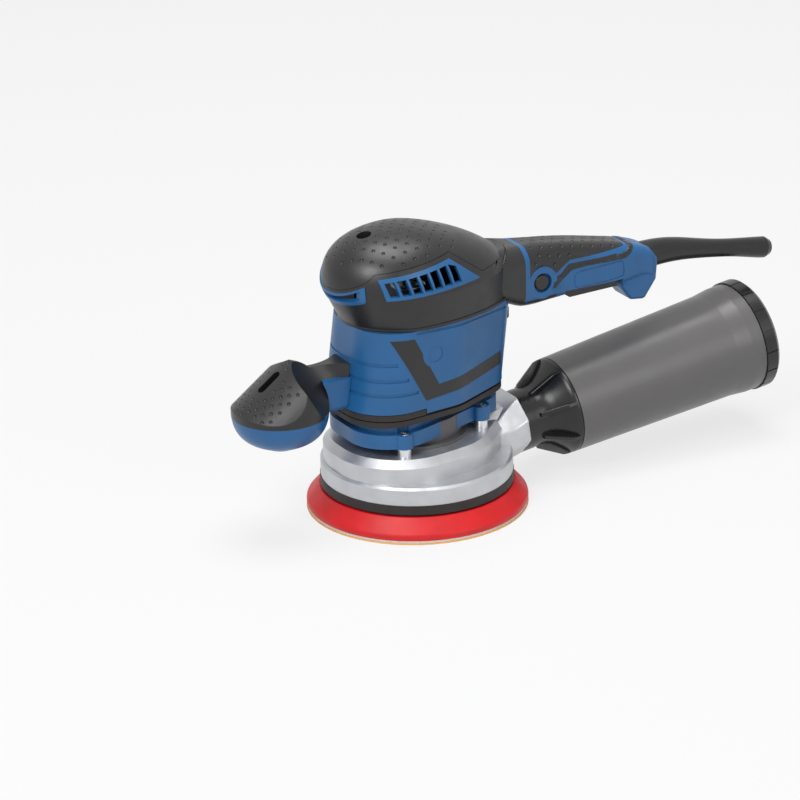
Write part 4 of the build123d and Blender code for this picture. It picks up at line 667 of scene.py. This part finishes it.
def slot_tool(tool, face):
    """Long round-ended cutter for the storage slot."""
    length, width = KNOB_SLOT
    reach = (length - width) / 2.0
    ring = []
    for step in range(SLOT_STEPS):
        angle = 2.0 * math.pi * step / SLOT_STEPS
        shift = reach if math.cos(angle) > 0.0 else -reach
        ring.append((shift + width / 2.0 * math.cos(angle), width / 2.0 * math.sin(angle)))
    low = [tool.verts.new(face @ Vector((x, y, -KNOB_SLOT_DEPTH))) for x, y in ring]
    high = [tool.verts.new(face @ Vector((x, y, KNOB_SLOT_DEPTH))) for x, y in ring]
    closed_between(tool, low, high)


def scoop_place(side):
    """Axis of the round hollow in one flank of the knob."""
    along, across, rise = KNOB_SCOOP_PLACE
    turn = Matrix.Rotation(side * KNOB_SCOOP_TURN, 4, "Z") @ Matrix.Rotation(-KNOB_SCOOP_LEAN, 4, "Y")
    return Matrix.Translation((along, side * across, rise)) @ turn


def knob_dimples(tool, face):
    """Staggered dimples on the knob's face, clear of its slot, its edges and the hollows in its flanks."""
    surface = Surface(NODES["knob_upper"].data)
    turn = face.to_3x3()
    out = (turn @ Vector((0.0, 0.0, 1.0))).normalized()
    hollows = [scoop_place(side).inverted() for side in (-1, 1)]
    for row in range(-KNOB_ROWS, KNOB_ROWS + 1):
        across = row * KNOB_PITCH[1]
        for column in range(-KNOB_COLUMNS, KNOB_COLUMNS + 1):
            along = KNOB_START + (column + 0.5 * (row % 2)) * KNOB_PITCH[0]
            beside = abs(along) - KNOB_SLOT[0] / 2.0 < KNOB_SLOT_CLEAR[0]
            if abs(across) >= KNOB_DIMPLE_HALF or (beside and abs(across) < KNOB_SLOT_CLEAR[1]):
                continue
            drop = face_drop(across)
            place = face @ Vector((along, across, -drop))
            above = surface.tree.ray_cast(place, out)
            if above[0] is None or above[3] < KNOB_MARGIN:
                continue
            if min((hollow @ place).xy.length for hollow in hollows) < KNOB_SCOOP_RADIUS + KNOB_SCOOP_CLEAR:
                continue
            normal = (turn @ Vector((0.0, across, KNOB_FACE_RADIUS - drop))).normalized()
            ball_tool(tool, place + DIMPLE_LIFT * normal, DIMPLE_RADIUS)


def shape_knob():
    """Rounded sloping face with dimples, hollow flanks and a storage slot in the knob's upper shell."""
    face = knob_frame()
    tool = bmesh.new()
    roof_tool(tool, face)
    slot_tool(tool, face)
    for side in (-1, 1):
        bmesh.ops.create_cone(tool, cap_ends=True, segments=SCOOP_STEPS, radius1=KNOB_SCOOP_RADIUS,
                              radius2=KNOB_SCOOP_RADIUS, depth=FAR, matrix=scoop_place(side))
    knob_dimples(tool, face)
    plug = bmesh.new()
    place = Matrix.Translation(OLD_SLOT_PLACE) @ Matrix.Diagonal(OLD_SLOT_SIZE).to_4x4()
    bmesh.ops.create_cube(plug, size=1.0, matrix=place)
    filler = mesh_object("knob_filler", plug, NODES["knob_upper"].material_slots[0].material)
    carve("knob_upper", "housing", tool, filler)


def prism(name, outline, low, high, material):
    """Block whose outline is given in millimetres of X and Z, between two distances in Y."""
    shape = bmesh.new()
    ends = [[shape.verts.new((x * MM, y, z * MM)) for x, z in outline] for y in (low, high)]
    closed_between(shape, *ends)
    bmesh.ops.recalc_face_normals(shape, faces=shape.faces)
    return mesh_object(name, shape, material)


def raised_band(name, node_name, side, material):
    """Thin raised skin on a handle shell, inside the band's outline seen from the side."""
    swollen = bmesh.new()
    swollen.from_mesh(NODES[node_name].data)
    bmesh.ops.remove_doubles(swollen, verts=swollen.verts, dist=1e-7)
    swollen.normal_update()
    for corner, normal in [(corner, corner.normal.copy()) for corner in swollen.verts]:
        corner.co += BAND_LIFT * normal
    piece = mesh_object(name, swollen, material)
    ends = sorted((side * BAND_REACH[0], side * BAND_REACH[1]))
    other = prism(name + "_outline", HANDLE_BAND, *ends, material)
    boolean(piece, other, "INTERSECT")
    smooth_but(settle(piece, other), BAND_CREASE)
    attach(piece, "housing")


def dress_handle(materials):
    """Soft strips that follow the grip's edge, and a grooved bare field under them."""
    for side, name in ((-1, "left"), (1, "right")):
        node_name = "handle_shell_" + name
        raised_band("handle_band_" + name, node_name, side, materials["soft_grip"])
        surface = Surface(NODES[node_name].data)
        across = Vector((0.0, -side, 0.0))
        line = finer([Vector((x * MM, side * FAR / 2.0, z * MM)) for x, z in FIELD_LINE], 6)
        points = [surface.hit(place, across)[0] for place in line]
        tool = bmesh.new()
        groove_tool(tool, points, [FIELD_GROOVE_WIDTH] * len(points))
        carve(node_name, "housing", tool)


def outlet_frame():
    """Frame at the middle of the outlet's end face, with Z along the outlet's axis."""
    tilt = math.radians(OUTLET_TILT)
    along = Vector((math.cos(tilt), 0.0, math.sin(tilt)))
    across = Vector((0.0, 1.0, 0.0))
    turn = Matrix((across, along.cross(across), along)).transposed().to_4x4()
    return Matrix.Translation(OUTLET_PLACE) @ turn


def turned(profile, place):
    """Shape with a closed profile of radius and distance in millimetres, turned about a place's Z axis."""
    shape = bmesh.new()
    rings = []
    for step in range(TURN_STEPS):
        angle = 2.0 * math.pi * step / TURN_STEPS
        ring = []
        for radius, distance in profile:
            corner = Vector((radius * math.cos(angle), radius * math.sin(angle), distance)) * MM
            ring.append(shape.verts.new(place @ corner))
        rings.append(ring)
    for step in range(TURN_STEPS):
        here, there = rings[step], rings[(step + 1) % TURN_STEPS]
        for index in range(len(profile)):
            other = (index + 1) % len(profile)
            shape.faces.new((here[index], there[index], there[other], here[other]))
    bmesh.ops.recalc_face_normals(shape, faces=shape.faces)
    return shape


def shape_adapter(materials):
    """Adapter of the dust box: a neck that flares to the container, with slim ribs."""
    place = outlet_frame()
    piece = mesh_object("adapter_body", turned(ADAPTER_PROFILE, place), materials["black_shell"])
    smooth_but(piece.data, ADAPTER_CREASE)
    ribs = bmesh.new()
    for index in range(ADAPTER_RIBS):
        spin = place @ Matrix.Rotation((index + 0.5) * 2.0 * math.pi / ADAPTER_RIBS, 4, "Z")
        sides = []
        for shift in (-ADAPTER_RIB_WIDTH / 2.0, ADAPTER_RIB_WIDTH / 2.0):
            corners = [spin @ (Vector((radius, shift, along)) * MM) for radius, along in ADAPTER_RIB_LINE]
            sides.append([ribs.verts.new(corner) for corner in corners])
        closed_between(ribs, *sides)
    bmesh.ops.recalc_face_normals(ribs, faces=ribs.faces)
    blades = mesh_object("adapter_ribs", ribs, materials["black_shell"])
    soften = blades.modifiers.new("edges", "BEVEL")
    soften.width = ADAPTER_RIB_EDGE
    soften.segments = 2
    for part in (piece, blades):
        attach(part, "dust_box")
    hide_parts("box_adapter")


def shape_outlet(materials):
    """Cast outlet that merges into the shroud and holds the adapter's neck in a shallow socket."""
    place = outlet_frame()
    shape = bmesh.new()
    for distance, wide, low, high, cut in OUTLET_SECTIONS:
        near = wide - cut
        for x, y in ((wide, high - cut), (near, high), (-near, high), (-wide, high - cut),
                     (-wide, low + cut), (-near, low), (near, low), (wide, low + cut)):
            shape.verts.new(place @ (Vector((x, y, distance)) * MM))
    bmesh.ops.convex_hull(shape, input=shape.verts)
    bmesh.ops.recalc_face_normals(shape, faces=shape.faces)
    piece = mesh_object("outlet_casting", shape, materials["cast_aluminium"])
    soften = piece.modifiers.new("edges", "BEVEL")
    soften.width = OUTLET_EDGE
    soften.segments = 4
    soften.limit_method = "ANGLE"
    soften.angle_limit = OUTLET_EDGE_ANGLE
    socket = mesh_object("outlet_hollow", turned(SOCKET_PROFILE, place), materials["cast_aluminium"])
    boolean(piece, socket, "DIFFERENCE")
    smooth_but(settle(piece, socket), OUTLET_CREASE)
    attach(piece, "housing")


def ring_tool(tool, middle, normal, radius, depth):
    """Flat round cutter that sinks into a surface by a depth."""
    turn = normal.to_track_quat("Z", "Y").to_matrix().to_4x4()
    place = Matrix.Translation(middle + (radius - depth) * normal) @ turn
    bmesh.ops.create_cone(tool, cap_ends=True, segments=64, radius1=radius, radius2=radius,
                          depth=2.0 * radius, matrix=place)


# ------------------------------------------------------------------ floor and light
FLOOR_GLOW = 0.75
FLOOR_SIZE = 8.0
LAMPS = (
    ("lamp_key", (-1.7, -1.0, 1.9), 1.2, 38.0),
    ("lamp_front", (0.6, -2.3, 1.1), 1.2, 11.0),
    ("lamp_top", (0.1, 0.1, 2.2), 1.2, 30.0),
)


def seen_rays(tree):
    """One for camera, glossy and transmission rays, otherwise zero."""
    path = tree.nodes.new("ShaderNodeLightPath")
    first = tree.nodes.new("ShaderNodeMath")
    first.operation = "MAXIMUM"
    second = tree.nodes.new("ShaderNodeMath")
    second.operation = "MAXIMUM"
    tree.links.new(path.outputs["Is Camera Ray"], first.inputs[0])
    tree.links.new(path.outputs["Is Glossy Ray"], first.inputs[1])
    tree.links.new(first.outputs[0], second.inputs[0])
    tree.links.new(path.outputs["Is Transmission Ray"], second.inputs[1])
    return second.outputs[0]


def make_floor():
    """Pale floor that keeps soft shadows, seen nearly white."""
    mesh = bpy.data.meshes.new("floor")
    half = FLOOR_SIZE / 2.0
    mesh.from_pydata([(-half, -half, 0.0), (half, -half, 0.0), (half, half, 0.0), (-half, half, 0.0)],
                     [], [(0, 1, 2, 3)])
    floor = bpy.data.objects.new("floor", mesh)
    bpy.context.scene.collection.objects.link(floor)
    material = bpy.data.materials.new("white_floor")
    material.use_nodes = True
    tree = material.node_tree
    tree.nodes.clear()
    out = tree.nodes.new("ShaderNodeOutputMaterial")
    mix = tree.nodes.new("ShaderNodeMixShader")
    paint = tree.nodes.new("ShaderNodeBsdfDiffuse")
    paint.inputs["Color"].default_value = (0.72, 0.72, 0.72, 1.0)
    glow = tree.nodes.new("ShaderNodeEmission")
    glow.inputs["Strength"].default_value = 1.0
    share = tree.nodes.new("ShaderNodeMath")
    share.operation = "MULTIPLY"
    share.inputs[1].default_value = FLOOR_GLOW
    tree.links.new(seen_rays(tree), share.inputs[0])
    tree.links.new(share.outputs[0], mix.inputs["Fac"])
    tree.links.new(paint.outputs[0], mix.inputs[1])
    tree.links.new(glow.outputs[0], mix.inputs[2])
    tree.links.new(mix.outputs[0], out.inputs["Surface"])
    mesh.materials.append(material)


def make_world():
    """White surroundings where they are seen, and a dim even light on everything else."""
    world = bpy.data.worlds.new("studio")
    bpy.context.scene.world = world
    world.use_nodes = True
    tree = world.node_tree
    tree.nodes.clear()
    out = tree.nodes.new("ShaderNodeOutputWorld")
    mix = tree.nodes.new("ShaderNodeMixShader")
    seen = tree.nodes.new("ShaderNodeBackground")
    seen.inputs["Strength"].default_value = 1.0
    fill = tree.nodes.new("ShaderNodeBackground")
    fill.inputs["Color"].default_value = (0.95, 0.97, 1.0, 1.0)
    fill.inputs["Strength"].default_value = 0.22
    tree.links.new(seen_rays(tree), mix.inputs["Fac"])
    tree.links.new(fill.outputs[0], mix.inputs[1])
    tree.links.new(seen.outputs[0], mix.inputs[2])
    tree.links.new(mix.outputs[0], out.inputs["Surface"])


def make_lamps():
    """Square studio lamps, all turned to the middle of the tool."""
    aim = Vector((0.0, 0.0, 0.1))
    for name, place, size, power in LAMPS:
        data = bpy.data.lights.new(name, "AREA")
        data.shape = "SQUARE"
        data.size = size
        data.energy = power
        lamp = bpy.data.objects.new(name, data)
        lamp.location = place
        lamp.rotation_euler = (aim - Vector(place)).to_track_quat("-Z", "Y").to_euler()
        bpy.context.scene.collection.objects.link(lamp)


make_camera()
MATERIALS = make_materials()
dress_nodes(MATERIALS)
dimple_cover()
dimple_grip()
groove_neck()
groove_body()
shape_knob()
dress_handle(MATERIALS)
shape_adapter(MATERIALS)
shape_outlet(MATERIALS)
make_floor()
make_world()
make_lamps()

bpy.context.scene.view_settings.view_transform = "Standard"
